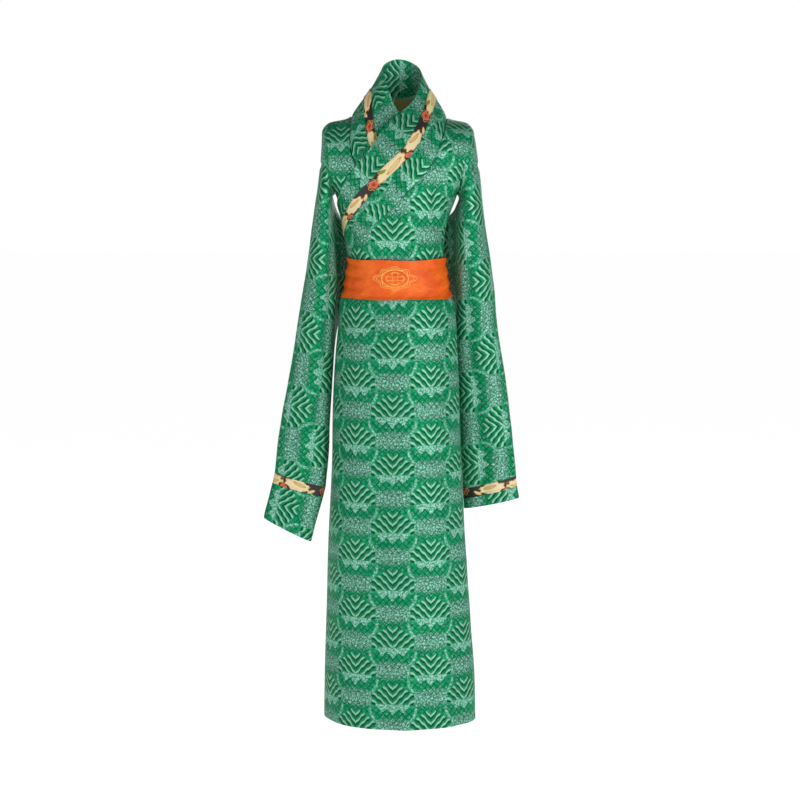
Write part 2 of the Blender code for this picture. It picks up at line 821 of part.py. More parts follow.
# ------------------------------------------------------------------ sash
def sash_grid(columns=36):
    """The sash as one strip wound once round, its outer end lapping the inner at the back."""
    start = math.radians(-200)
    turn = math.radians(400)
    grid = []
    for level in (0.0, 0.5, 1.0):
        row = []
        for j in range(columns + 1):
            share = j / columns
            angle = start + turn * share
            side = -1 if math.cos(angle) > 0 else 1
            height = SASH_BOTTOM + (SASH_TOP - SASH_BOTTOM) * level
            height -= SASH_FRONT_DROOP * max(0.0, math.cos(angle)) * (0.4 + 0.6 * level)
            middle = read(BODY, "height", height, "middle")
            half = read(BODY, "height", height, "half_width")
            depth = read(BODY, "height", height, "back" if side > 0 else "front")
            lift = SASH_LIFT + SASH_OVERLAP_LIFT * ease((share - 0.8) / 0.1)
            row.append(Vector((
                middle + (half + lift) * math.sin(angle),
                -(depth + lift) * math.cos(angle),
                height)))
        grid.append(row)
    return grid


# ------------------------------------------------------------------ assembly
def main():
    for item in list(bpy.data.objects):
        bpy.data.objects.remove(item, do_unlink=True)

    outer_front = outer_front_grid()
    inner_front = inner_front_grid()
    back = back_grid()
    outer_normals = panel_normals(outer_front)
    inner_normals = panel_normals(inner_front)
    back_normals = [[-normal for normal in row] for row in panel_normals(back)]
    waist = SKIRT_HEIGHTS.index(BAND_END_HEIGHT)
    make_in_two(("front_outer_skirt", "front_outer_bodice"), outer_front, outer_normals, waist)
    make_in_two(("front_inner_skirt", "front_inner_bodice"), inner_front, inner_normals, waist)
    make_in_two(("back_skirt", "back_bodice"), turned(back), turned(back_normals), waist)
    band, widths = band_grid(outer_front, inner_front, back)
    wall("collar_band", band, BROCADE)
    make_trim(band, widths)
    make_loop(make_lining(band))
    backs = (back, back_normals)
    left = armhole_ring((outer_front, outer_normals), backs, -1, -2)
    right = armhole_ring((inner_front, inner_normals), backs, 0, 1)
    make_sleeve("left", 1, left, SLEEVE_LEFT, CUFF_LEFT)
    make_sleeve("right", -1, right, SLEEVE_RIGHT, CUFF_RIGHT)
    wall("sash", sash_grid(), ORANGE)


main()
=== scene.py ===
"""Tibetan chuba robe of silk brocade with printed strips and a sash, filled out as when worn.

The wearer faces -Y and +Z is up.  The tables and functions are in millimetres and the meshes in
metres.  Each piece of cloth is a grid of points on its middle surface with a place on the flat
cloth for every point, thickened into a closed wall.
"""
import bisect
import math

import bmesh
import bpy
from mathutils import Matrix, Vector, noise


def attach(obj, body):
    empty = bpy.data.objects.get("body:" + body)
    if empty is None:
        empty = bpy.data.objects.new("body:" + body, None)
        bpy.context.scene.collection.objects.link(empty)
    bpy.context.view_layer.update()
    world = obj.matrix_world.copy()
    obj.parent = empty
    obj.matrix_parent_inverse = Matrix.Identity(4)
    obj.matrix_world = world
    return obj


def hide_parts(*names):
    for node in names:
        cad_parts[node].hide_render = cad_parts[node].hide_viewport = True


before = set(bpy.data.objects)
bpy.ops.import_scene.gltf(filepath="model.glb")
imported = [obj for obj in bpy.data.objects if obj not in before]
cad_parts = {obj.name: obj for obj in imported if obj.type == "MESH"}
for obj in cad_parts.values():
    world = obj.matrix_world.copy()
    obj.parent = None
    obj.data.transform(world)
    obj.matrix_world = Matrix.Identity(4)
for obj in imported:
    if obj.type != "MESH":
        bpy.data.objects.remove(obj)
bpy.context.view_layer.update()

# ------------------------------------------------------------------ sizes of the cut and the sewing
METRES_PER_MM = 0.001
CLOTH = 1.6                # wall of the brocade with its backing
TRIM_CLOTH = 1.2           # wall of the printed strip, the lining and the loop
SEAM_GAP = 0.3             # between pieces that are sewn edge to edge
HEM_HEIGHT = -1420.0
ARMPIT_HEIGHT = -155.0
SHOULDER_ROUND = 130.0     # drop below the shoulder line in which the cloth turns over to upright
SHOULDER_EXTRA = 44.0      # cloth that this turn takes up beyond its drop
ARMHOLE_SPREAD = 0.88      # how far towards the chest the armhole edge reaches at the shoulder tip
ARMHOLE_FULLNESS = 0.35    # how slowly it gets there from the armpit
OVERLAP_LIFT = 5.5         # the outer front lies this far in front of the inner one
SIDE_EASE = 2.0            # and the band stands off that much more where it turns round the side
SASH_LIFT = 12.0
SASH_OVERLAP_LIFT = 4.0
SIDE_LAP = 1.06            # the outer front goes just past the side, in shares of a quarter turn
SEAM_TO_TRIM = 54.0        # on the collar band
TRIM_WIDTH = 25.0
UNDERARM = 0.4             # share of the armhole in which the cloth folds back down the sleeve
UNDERARM_GAP = 2.2
ARMHOLE_ROWS = 24
RING_POINTS = 2 * ARMHOLE_ROWS
NECK_COLUMNS = 22          # of the back's grid, between the ends of the collar seam
SHOULDER_COLUMNS = 12      # of the same grid, along each shoulder seam
FRONT_COLUMNS = 64
SLEEVE_STEPS = 9           # rings between two rows of a sleeve's table
STRIP_RINGS = 5
CUFF_RINGS = 14
SEAM_DIP = 1.8             # how deep the collar seam lies
SEAM_DIP_WIDTH = 5
SHARP_EDGE = 55            # degrees between faces from which an edge shows


def table(columns, *rows):
    """Rows of numbers as dictionaries under their column names."""
    names = columns.split()
    return [dict(zip(names, row)) for row in rows]


# Robe below the armpits, level by level: ellipses with a deeper or shallower front and back half.
BODY = table(
    "height middle half_width front back",
    (-155, -4.0, 143.0, 112, 95),
    (-178, -4.0, 134.5, 112, 94),
    (-200, -4.0, 126.0, 111, 92),
    (-240, -5.5, 116.5, 106, 88),
    (-280, -5.0, 111.0, 99, 84),
    (-298, -3.0, 109.0, 96, 82),
    (-312, -3.0, 104.5, 91, 78),
    (-350, -3.0, 110.0, 91, 79),
    (-392, -3.0, 117.5, 93, 85),
    (-408, -1.0, 131.0, 103, 97),
    (-463, 1.0, 137.0, 111, 110),
    (-535, -1.0, 142.0, 116, 121),
    (-603, -1.5, 146.0, 118, 124),
    (-685, -1.5, 149.0, 120, 125),
    (-796, 0.0, 152.0, 121, 126),
    (-987, 1.0, 162.0, 124, 127),
    (-1145, 4.5, 169.5, 126, 128),
    (-1302, 8.0, 178.0, 128, 129),
    (-1420, 9.0, 181.0, 130, 130),
)
# Depth of the robe above the armpits.
CHEST = table(
    "height front back",
    (-155, 112, 95),
    (-80, 104, 95),
    (0, 94, 92),
    (60, 88, 90),
)
# Armhole edge, by share of the way from the armpit to the shoulder tip.
ARMHOLE = table(
    "share middle half_width",
    (0.00, -4.0, 143.0),
    (0.10, -5.0, 148.0),
    (0.26, -5.0, 154.0),
    (0.56, -1.0, 162.0),
    (0.90, 1.5, 174.0),
    (1.00, 0.0, 178.0),
)
SHOULDER = table(
    "from_middle height",
    (0, 60),
    (60, 51),
    (100, 33),
    (120, 21),
    (160, 12),
    (171, 4),
    (178, -7),
    (195, -40),
)
# Seam between each front and the collar band: in millimetres across above the armpits, and in
# degrees round the body, 0 at the middle of the front, below them.
OUTER_SEAM = table(
    "height across",
    (30, 119),
    (0, 111.5),
    (-50, 95),
    (-100, 71),
    (-135, 36),
    (-155, 17),
)
OUTER_SEAM_TURN = table(
    "height turn",
    (-155, 8.4),
    (-178, 0.4),
    (-198, -9),
    (-214, -17.5),
    (-230, -28),
    (-246, -39),
    (-262, -50),
    (-276, -59.5),
    (-290, -69),
    (-304, -77.5),
    (-325, -87),
    (-350, -95.4),
)
INNER_SEAM = table(
    "height across",
    (30, -110),
    (0, -111.5),
    (-48, -112),
    (-80, -103),
    (-110, -81),
    (-155, -37),
)
INNER_SEAM_TURN = table(
    "height turn",
    (-155, -13.3),
    (-178, -4.3),
    (-198, 5),
    (-214, 12.5),
    (-230, 21),
    (-246, 30),
    (-262, 38),
    (-276, 46),
    (-290, 52),
    (-304, 57),
    (-350, 60),
    (-420, 48),
    (-600, 42),
    (-1420, 35),
)
# Free edge of the collar band opposite each point of its seam.  stand is 0 where the band lies on
# the chest and 1 where it stands free round the neck.
OUTER_FREE = table(
    "height free_x free_y free_z stand",
    (-350, -170, 0, -341, 0),
    (-325, -170, 0, -300, 0),
    (-304, -170, 0, -264, 0),
    (-276, -160, 0, -220, 0),
    (-262, -150, 0, -203, 0),
    (-246, -143, 0, -185, 0),
    (-230, -137, 0, -166, 0),
    (-205, -122, 0, -131, 0),
    (-178, -96, 0, -92, 0),
    (-155, -74, 0, -66, 0),
    (-135, -56, -82, -43, 0),
    (-100, -35, -80, -8, 0),
    (-75, -15, -74, 13, 0.15),
    (-50, 10, -68, 35, 0.5),
    (-25, 33, -56, 56, 0.85),
    (0, 47, -38, 80, 1),
    (25, 54, -12, 112, 1),
)
INNER_FREE = table(
    "height free_x free_y free_z stand",
    (-350, 160, 0, -320, 0),
    (-300, 160, 0, -275, 0),
    (-260, 160, 0, -205, 0),
    (-225, 134, 0, -145, 0),
    (-190, 114, 0, -98, 0),
    (-155, 90, 0, -62, 0),
    (-125, 66, -70, -31, 0),
    (-100, 40, -66, -4, 0.1),
    (-75, 15, -60, 19, 0.5),
    (-48, -4, -52, 42, 0.9),
    (-25, -14, -42, 62, 1),
    (0, -22, -30, 90, 1),
    (30, -33, -12, 118, 1),
)
BACK_FREE = table(
    "across free_x free_y free_z",
    (-112, -33, -12, 118),
    (-92, -38, 8, 139),
    (-65, -32, 28, 151),
    (-30, -15, 41, 161),
    (0, 3, 45, 166),
    (30, 24, 41, 160),
    (65, 46, 28, 147),
    (95, 56, 8, 131),
    (119, 54, -12, 112),
)
NECK_BULGE = 5.0           # outward swell of the standing collar halfway up
STANDING_STEP = 2.0        # rise of the standing collar's seam over the panel's middle surface
BAND_END_HEIGHT = -350.0   # both ends of the band are under the sash
BAND_STEP = 4.5            # lines across the band lie at least this far apart at the seam
FREE_EDGE_DROP = 2         # the band's free edge stays this far below the shoulder line
BACK_NECK_HEIGHT = 16.0    # collar seam at the middle of the back
INNER_LIMIT = 0.78         # the under layer of the collar stops short of the far side
LOOP_ACROSS = -13.0
LOOP_RADIUS = 4.5
LOOP_DROP = 12.0
LOOP_TAPE = 3.0
LOOP_STAND_OFF = 5.0
NECK_LEFT = 118.0          # where the wearer's left shoulder seam meets the collar
NECK_RIGHT = -110.5        # and the right one

# Sleeve cross-sections: the outer and inner end of each, its middle depth, its half depth, and how
# far its back half tucks in behind the body.
SLEEVE_LEFT = table(
    "outer_x outer_z inner_x inner_z mid_y half_depth tuck",
    (184.6, -44.5, 146, -166, 0, 63, 0),
    (193, -107, 142, -186, 2, 66, 32),
    (202, -185, 139, -216, 5, 66, 56),
    (213, -265, 140, -297, 8, 61, 58),
    (226.5, -361, 139, -361, 12, 55, 50),
    (240, -475, 139, -475, 26, 44, 6),
    (262, -622, 145.5, -627, 38, 36, 0),
    (279, -743, 153, -755, 42, 31, 0),
    (286, -835, 158, -867, 44, 27, 0),
)
SLEEVE_RIGHT = table(
    "outer_x outer_z inner_x inner_z mid_y half_depth tuck",
    (-180, -51.5, -155, -160, 0, 63, 0),
    (-185.5, -110, -155, -178, 2, 66, 36),
    (-194, -174, -154, -211, 4, 66, 60),
    (-211, -280, -148, -297, 6, 60, 58),
    (-227.5, -396, -146, -406, 8, 52, 40),
    (-258.5, -574, -157, -578, 8, 40, 2),
    (-287.5, -743, -166, -748, 2, 30, 0),
    (-297.5, -821, -175, -855, -2, 26, 0),
)
# Ends of the printed strip and of the brocade below it, as sleeve cross-sections.
CUFF_LEFT = table(
    "outer_x outer_z inner_x inner_z mid_y half_depth tuck",
    (288.5, -860, 159.5, -892, 44, 26, 0),
    (295, -890, 162, -916, 45, 25, 0),
)
CUFF_RIGHT = table(
    "outer_x outer_z inner_x inner_z mid_y half_depth tuck",
    (-302, -845, -181, -879, -3, 25, 0),
    (-322.5, -931, -210.5, -989, -5, 21, 0),
)


def stepped(low, high, step):
    """Even steps from low up to, but without, high."""
    count = max(1, round((high - low) / step))
    return [low + (high - low) * i / count for i in range(count)]


UPPER_SHARES = [0.5 - 0.5 * math.cos(math.pi * i / ARMHOLE_ROWS) for i in range(ARMHOLE_ROWS + 1)]
SKIRT_HEIGHTS = stepped(HEM_HEIGHT, -480.0, 12.0) + stepped(-480.0, -300.0, 5.0)
BODICE_HEIGHTS = stepped(-300.0, ARMPIT_HEIGHT, 6.0) + [ARMPIT_HEIGHT]
SASH_TOP = -304.0
SASH_BOTTOM = -397.5
SASH_FRONT_DROOP = 5.0
SASH_TURN = 400.0          # degrees that the sash winds, so that its ends overlap

# Where the figure of the brocade falls on each piece: the middle line of one column of fans, and
# the height of the top of one fan, in millimetres of cloth.
OUTER_FIGURE = (-12.0, -486.0)
INNER_FIGURE = (-132.0, 22.0)
BACK_FIGURE = (0.0, -486.0)
BAND_FIGURE = (38.0, 466.0)       # from the band's free edge, and along it from its outer end
SLEEVE_LEFT_COLUMN = -178.0       # height of a column's middle on the sleeve, which lies sideways
SLEEVE_RIGHT_COLUMN = -307.0
CUFF_LEFT_COLUMN = -925.0
CUFF_RIGHT_COLUMN = -905.0
SLEEVE_FAN_TOP = 83.0             # from the outer fold of the sleeve towards the front
PRINT_START = 300.0               # place in the print at the outer fold of a cuff's strip


# ------------------------------------------------------------------ reading the tables
CURVES = {}


def slopes_of(keys, values):
    """The slope of a smooth curve at each of its points, from the points beside it."""
    last = len(keys) - 1
    beside = [(max(i - 1, 0), min(i + 1, last)) for i in range(last + 1)]
    return [(values[b] - values[a]) / max(keys[b] - keys[a], 1e-6) for a, b in beside]


def curve_weights(t):
    """Weights of a step's start, its slope there, its end and its slope there, at t from 0 to 1."""
    return (
        2 * t ** 3 - 3 * t ** 2 + 1,
        t ** 3 - 2 * t ** 2 + t,
        3 * t ** 2 - 2 * t ** 3,
        t ** 3 - t ** 2,
    )


def read(rows, key, at, column):
    """A smooth curve through one column of a table, read at one place of its key column."""
    name = (id(rows), key, column)
    if name not in CURVES:
        ordered = sorted(rows, key=lambda row: row[key])
        keys = [row[key] for row in ordered]
        values = [row[column] for row in ordered]
        CURVES[name] = (keys, values, slopes_of(keys, values))
    keys, values, slopes = CURVES[name]
    if at <= keys[0]:
        return values[0]
    if at >= keys[-1]:
        return values[-1]
    i = bisect.bisect_right(keys, at) - 1
    step = keys[i + 1] - keys[i]
    start, leaving, end, arriving = curve_weights((at - keys[i]) / step)
    return (
        start * values[i] + leaving * step * slopes[i]
        + end * values[i + 1] + arriving * step * slopes[i + 1])


def ease(share):
    """0 to 1 with level ends."""
    share = min(1.0, max(0.0, share))
    return share * share * (3 - 2 * share)


def bump(distance, width):
    """1 at no distance, falling smoothly to 0."""
    return math.exp(-(distance / width) ** 2)


# ------------------------------------------------------------------ the form of the worn robe
def shoulder_height(x):
    """Height of the shoulder line."""
    return read(SHOULDER, "from_middle", abs(x), "height")


def turn_over(x, z):
    """0 on the shoulder line, 1 where the cloth hangs upright below it."""
    share = min(1.0, max(0.0, (shoulder_height(x) - z) / SHOULDER_ROUND))
    return math.sqrt(1 - (1 - share) ** 2)


def upper_point(across, share, side, top=shoulder_height):
    """Above the armpits.  across runs from -1 to 1 between the armholes, share from the armpit
    level to the top line, and side is -1 for the front and 1 for the back."""
    edge = math.acos(ARMHOLE_SPREAD * share ** ARMHOLE_FULLNESS)
    half_width = read(ARMHOLE, "share", share, "half_width") / math.sin(edge)
    angle = across * edge
    x = read(ARMHOLE, "share", share, "middle") + half_width * math.sin(angle)
    z = ARMPIT_HEIGHT + share * (top(x) - ARMPIT_HEIGHT)
    depth = read(CHEST, "height", z, "back" if side > 0 else "front")
    return Vector((x, side * depth * math.cos(angle) * turn_over(x, z), z))


def body_point(across, height, side):
    """The robe's surface at a height; across is -1 to 1 from side seam to side seam."""
    if height <= ARMPIT_HEIGHT:
        angle = across * math.pi / 2
        x = read(BODY, "height", height, "middle")
        x += read(BODY, "height", height, "half_width") * math.sin(angle)
        depth = read(BODY, "height", height, "back" if side > 0 else "front")
        return Vector((x, side * depth * math.cos(angle), height))
    share = (height - ARMPIT_HEIGHT) / (shoulder_height(0) - ARMPIT_HEIGHT)
    for _ in range(12):
        share = min(1.0, share)
        x = upper_point(across, share, side).x
        better = (height - ARMPIT_HEIGHT) / (shoulder_height(x) - ARMPIT_HEIGHT)
        if abs(better - share) < 1e-6:
            break
        share = better
    return upper_point(across, min(1.0, share), side)


def raised(across, height, side, lift):
    """A point of the robe's surface, moved out square to it."""
    point = body_point(across, height, side)
    along = body_point(across + 0.002, height, side) - point
    down = body_point(across, height - 0.5, side) - point
    normal = along.cross(down).normalized() * side
    return point + normal * lift


def across_at(x, height):
    """The across value whose front point is at x."""
    low = -SIDE_LAP
    high = SIDE_LAP
    for _ in range(18):
        middle = (low + high) / 2
        if body_point(max(-1.0, min(1.0, middle)), height, -1).x < x:
            low = middle
        else:
            high = middle
    return (low + high) / 2


def overlap_lift(across, height):
    """The outer front's distance from the inner one: none at its side seam and the shoulder."""
    x = body_point(max(-1.0, min(1.0, across)), height, -1).x
    from_seam = ease((1 - across) / 0.22)
    from_shoulder = ease((shoulder_height(x) - height) / 45)
    return OVERLAP_LIFT * from_seam * from_shoulder


# ------------------------------------------------------------------ how the worn cloth creases
def body_crease(point):
    """How far the body's cloth stands out from its plain form at a point: soft folds that deepen
    towards the hem, gathers where the sash draws it in, and creases over the chest.  In each term
    the first number is its depth; bump and ease take distances in millimetres or turns in radians."""
    turn = math.atan2(point.x, -point.y)
    height = point.z
    skirt = ease((-430 - height) / 900)
    folds = math.sin(7 * turn + 0.6) * 0.7 + math.sin(11 * turn + height / 700 + 2.0) * 0.5
    out = 2.2 * skirt * folds
    out -= 2.6 * skirt * bump(turn - 1.02, 0.09) * ease((-430 - height) / 300)
    # gathers above and below the sash, stronger towards the sides
    gathers = math.sin(31 * turn + 1.3) * 0.6 + math.sin(47 * turn) * 0.4
    side = 0.35 + 0.65 * ease((abs(turn) - 0.3) / 0.6)
    below_sash = SASH_BOTTOM - 8 - height
    if height >= SASH_TOP:
        out += 1.3 * bump(height - SASH_TOP, 26) * gathers * side
    elif below_sash > 0:
        out += 0.9 * bump(below_sash, 30) * gathers * side
    # one upright crease by the arm and two drag lines towards the sash
    if point.y < 0:
        across_chest = bump(point.x - 86 - (height + 180) * 0.04, 5.5)
        out -= 4.6 * across_chest * ease((-128 - height) / 25) * ease((height + 222) / 25)
        drag = bump((point.x - 60) * 0.5 + (height + 235) * 0.9, 7)
        out += 2.0 * drag * ease((height + 290) / 40) * ease((-170 - height) / 30)
        drag = bump((point.x + 60) * 0.55 - (height + 262) * 0.9, 6)
        out += 0.8 * drag * ease((height + 300) / 30)
    out += 1.1 * noise.noise(point / 85) * ease((abs(point.y) - 4) / 25)
    return out


def sleeve_crease(side, along, around, length):
    """The same for a sleeve: along from the armhole, around from its outer fold to the front."""
    end = ease(along / 60) * ease((length - along) / 30)
    middle = 92 if side > 0 else 104
    out = -5.0 * bump(around - middle, 13) * ease((along - 150) / 160)
    out += 2.0 * bump(around - middle + 30, 16) * ease((along - 150) / 160)
    out -= 2.2 * bump(around + 70, 15) * ease((along - 120) / 120)
    elbow = bump(along - 330, 75)
    out += 1.6 * elbow * math.sin(along / 9.5 + around / 26) * bump(around - 125, 55)
    out += 1.0 * math.sin(along / 41 + around / 60 + side) * ease(along / 120)
    out += 1.2 * noise.noise(Vector((along / 60, around / 45, side * 3.0)))
    at_seam = 4.5 * bump(along - 11, 7) * ease(along / 6) * bump(around - 60, 90)
    return out * end - at_seam


# ------------------------------------------------------------------ walls of cloth
def put(name, data):
    """A new object in the scene."""
    made = bpy.data.objects.new(name, data)
    bpy.context.scene.collection.objects.link(made)
    return made


def grid_normals(grid, ring):
    """Normals of a grid of points; ring says that its rows close on themselves."""
    count = len(grid[0])
    normals = []
    for i, row in enumerate(grid):
        below = grid[max(i - 1, 0)]
        above = grid[min(i + 1, len(grid) - 1)]
        line = []
        for j in range(count):
            if ring:
                along = row[(j + 1) % count] - row[j - 1]
            else:
                along = row[min(j + 1, count - 1)] - row[max(j - 1, 0)]
            line.append(along.cross(above[j] - below[j]).normalized())
        normals.append(line)
    return normals


def panel_normals(grid):
    """Normals of a front or back; where it meets its neighbour on the middle plane they lie in
    that plane, so that the two walls end flush."""
    normals = grid_normals(grid, False)
    for i, row in enumerate(grid):
        for j, point in enumerate(row):
            if abs(point.y) < SEAM_GAP:
                normals[i][j].y = 0
                normals[i][j].normalize()
    return normals


def creased(grid, normals):
    """A plain grid of the body's cloth with its creases."""
    return [
        [point + normal * body_crease(point) for point, normal in zip(row, out)]
        for row, out in zip(grid, normals)]


def dipped(grid, normals, from_end):
    """Let the cloth dip a little along the edge where it is sewn to the collar band."""
    rows = []
    for row, out in zip(grid, normals):
        lengths = running_lengths(row)
        far = [lengths[-1] - length if from_end else length for length in lengths]
        rows.append([
            point - normal * SEAM_DIP * bump(distance, SEAM_DIP_WIDTH)
            for point, normal, distance in zip(row, out, far)])
    return rows


def turned(grid):
    """The same rows the other way round, as a wall that faces back needs them."""
    return [list(reversed(row)) for row in grid]


def wall(name, grid, places, finishes, thickness=CLOTH, ring=False, normals=None):
    """A closed wall of cloth with the grid as its middle surface.  Rows go up and points go from
    -X to +X on the front, so that the normals point out.  places holds each point's place on the
    flat cloth, with one more at the end of a ring's rows.  finishes are the outer and inner one."""
    rows = len(grid)
    count = len(grid[0])
    normals = normals or grid_normals(grid, ring)
    mesh = bmesh.new()
    cloth = mesh.loops.layers.uv.new("cloth")
    sides = []
    for direction in (0.5, -0.5):
        sides.append([[
            mesh.verts.new((grid[i][j] + normals[i][j] * thickness * direction) * METRES_PER_MM)
            for j in range(count)] for i in range(rows)])
    outer, inner = sides

    def face(corners, finish):
        made = mesh.faces.new([side[i][j % count] for side, i, j in corners])
        made.material_index = finish
        made.smooth = True
        for loop, (_, i, j) in zip(made.loops, corners):
            loop[cloth].uv = (places[i][j][0] * METRES_PER_MM, places[i][j][1] * METRES_PER_MM)

    spans = range(count if ring else count - 1)
    top = rows - 1
    for i in range(top):
        for j in spans:
            k = j + 1
            face(((outer, i, j), (outer, i, k), (outer, i + 1, k), (outer, i + 1, j)), 0)
            face(((inner, i, j), (inner, i + 1, j), (inner, i + 1, k), (inner, i, k)), 1)
    for j in spans:
        k = j + 1
        face(((inner, 0, j), (inner, 0, k), (outer, 0, k), (outer, 0, j)), 0)
        face(((outer, top, j), (outer, top, k), (inner, top, k), (inner, top, j)), 0)
    if not ring:
        end = count - 1
        for i in range(top):
            face(((outer, i, 0), (outer, i + 1, 0), (inner, i + 1, 0), (inner, i, 0)), 0)
            face(((inner, i, end), (inner, i + 1, end), (outer, i + 1, end), (outer, i, end)), 0)
    data = bpy.data.meshes.new(name + "_cloth")
    mesh.to_mesh(data)
    mesh.free()
    data.set_sharp_from_angle(angle=math.radians(SHARP_EDGE))
    for finish in finishes:
        data.materials.append(finish)
    return put(name + "_cloth", data)


def running_lengths(points):
    """How far along a line of points each one is."""
    total = 0.0
    lengths = [0.0]
    for a, b in zip(points, points[1:]):
        total += (b - a).length
        lengths.append(total)
    return lengths


# ------------------------------------------------------------------ fronts and back
def row_point(across, height, share, side):
    """A point of a panel's row, which is at a height or, above the armpits, at a share."""
    if share is None:
        return body_point(across, height, side)
    return upper_point(across, share, side)


def side_edge(across, depth):
    """Pull a side edge back so that front and back end half a seam gap from each other."""
    inset = SEAM_GAP / 2 / depth / (math.pi / 2)
    return max(-1 + inset, min(1 - inset, across))


def front_row(left, right, height, share):
    """One row of a front between two across values: those of its points, and the points."""
    acrosses = [left + (right - left) * j / FRONT_COLUMNS for j in range(FRONT_COLUMNS + 1)]
    points = [row_point(across, height, share, -1) for across in acrosses]
    if share == 1.0:
        for point in points:
            point.y = -SEAM_GAP / 2
    return acrosses, points


def place_row(acrosses, row, side, figure, height, share):
    """Places on the flat cloth: across from one column of fans, and up from the top of one fan with
    the turn-over of the shoulder laid flat."""
    column, fan_top = figure
    count = 60
    whole = [row_point(-1 + 2 * k / count, height, share, side) for k in range(count + 1)]
    lengths = running_lengths(whole)
    middle = 0.0
    for k in range(count):
        if whole[k].x <= column < whole[k + 1].x:
            part = (column - whole[k].x) / (whole[k + 1].x - whole[k].x)
            middle = lengths[k] + (lengths[k + 1] - lengths[k]) * part
    places = []
    for across, point in zip(acrosses, row):
        k = (across + 1) / 2 * count
        low = max(0, min(count - 1, math.floor(k)))
        length = lengths[low] + (lengths[low + 1] - lengths[low]) * (k - low)
        up = point.z + SHOULDER_EXTRA * (1 - turn_over(point.x, point.z))
        places.append((length - middle, up - fan_top))
    return places


def seam_across(seam, turns, height, share):
    """The across value at which a row of the front meets its collar seam."""
    if share is None:
        return math.radians(read(turns, "height", height, "turn")) / (math.pi / 2)
    low = -1.0
    high = 1.0
    for _ in range(40):
        middle = (low + high) / 2
        point = upper_point(middle, share, -1)
        if point.x < read(seam, "height", point.z, "across"):
            low = middle
        else:
            high = middle
    return (low + high) / 2


def front_rows():
    """Every row of a front, as (height, share), from the hem up."""
    rows = [(height, None) for height in SKIRT_HEIGHTS + BODICE_HEIGHTS]
    rows += [(None, share) for share in UPPER_SHARES[1:]]
    return rows


def front_grid(seam, turns, figure, outer):
    """A front between its collar seam and its side seam, with its places on the flat cloth."""
    grid = []
    lifts = []
    places = []
    for height, share in front_rows():
        at_seam = seam_across(seam, turns, height, share)
        at_side = 1.0 if outer else -1.0
        if share is None:
            at_side = side_edge(at_side, read(BODY, "height", height, "front"))
        left, right = (at_seam, at_side) if outer else (at_side, at_seam)
        acrosses, row = front_row(left, right, height, share)
        grid.append(row)
        places.append(place_row(acrosses, row, -1, figure, height, share))
        lifts.append([overlap_lift(across, point.z) for across, point in zip(acrosses, row)])
    if outer:
        normals = grid_normals(grid, False)
        grid = [
            [point + normal * lift for point, normal, lift in zip(row, out, up)]
            for row, out, up in zip(grid, normals, lifts)]
    return grid, places


def back_top(x):
    """Top line of the back: the shoulder seams, and the collar seam between them."""
    edge = NECK_LEFT if x > 0 else NECK_RIGHT
    if abs(x) >= abs(edge):
        return shoulder_height(x)
    return BACK_NECK_HEIGHT + (shoulder_height(edge) - BACK_NECK_HEIGHT) * (x / edge) ** 2


def back_columns():
    """Across values of the back, with a column on each end of the collar seam."""
    edge = math.acos(ARMHOLE_SPREAD)
    tip = read(ARMHOLE, "share", 1, "half_width")
    right = math.asin(NECK_RIGHT * math.sin(edge) / tip) / edge
    left = math.asin(NECK_LEFT * math.sin(edge) / tip) / edge
    count = NECK_COLUMNS
    shares = [0.5 - 0.5 * math.cos(math.pi * j / count) for j in range(count + 1)]
    neck = [right + (left - right) * share for share in shares]
    ends = [(j + 1) / SHOULDER_COLUMNS for j in range(SHOULDER_COLUMNS)]
    return (
        [right + (-1 - right) * share for share in reversed(ends)]
        + neck
        + [left + (1 - left) * share for share in ends])


def back_grid():
    """The back from side seam to side seam, with its places on the flat cloth."""
    grid = []
    places = []
    for height, share in front_rows():
        row = []
        for across in back_columns():
            if share is None:
                edge = side_edge(across, read(BODY, "height", height, "back"))
                row.append(body_point(edge, height, 1))
            else:
                point = upper_point(across, share, 1, back_top)
                if share == 1.0:
                    point.y = max(point.y, SEAM_GAP / 2)
                row.append(point)
        grid.append(row)
        places.append(place_row(back_columns(), row, 1, BACK_FIGURE, height, share))
    return grid, places


# ------------------------------------------------------------------ collar band
def wrap_angle(x, height):
    """The turn round the body, 0 at the front and a quarter turn at the side, of a point at x."""
    level = min(height, ARMPIT_HEIGHT)
    share = (x - read(BODY, "height", level, "middle")) / read(BODY, "height", level, "half_width")
    if abs(share) <= 1:
        return math.asin(share)
    return math.copysign(min(math.pi / 2 + abs(share) - 1, SIDE_LAP * math.pi / 2), share)


def across_of_angle(angle, height):
    """The across value of a turn round the body; the two only differ above the armpits."""
    if height <= ARMPIT_HEIGHT:
        return angle / (math.pi / 2)
    x = read(BODY, "height", ARMPIT_HEIGHT, "middle")
    x += read(BODY, "height", ARMPIT_HEIGHT, "half_width") * math.sin(angle)
    return across_at(x, height)


def seam_turn(place, share):
    """The turn round the body of a panel's seam edge."""
    if share is None:
        return place * math.pi / 2
    return wrap_angle(upper_point(place, share, -1).x, ARMPIT_HEIGHT)


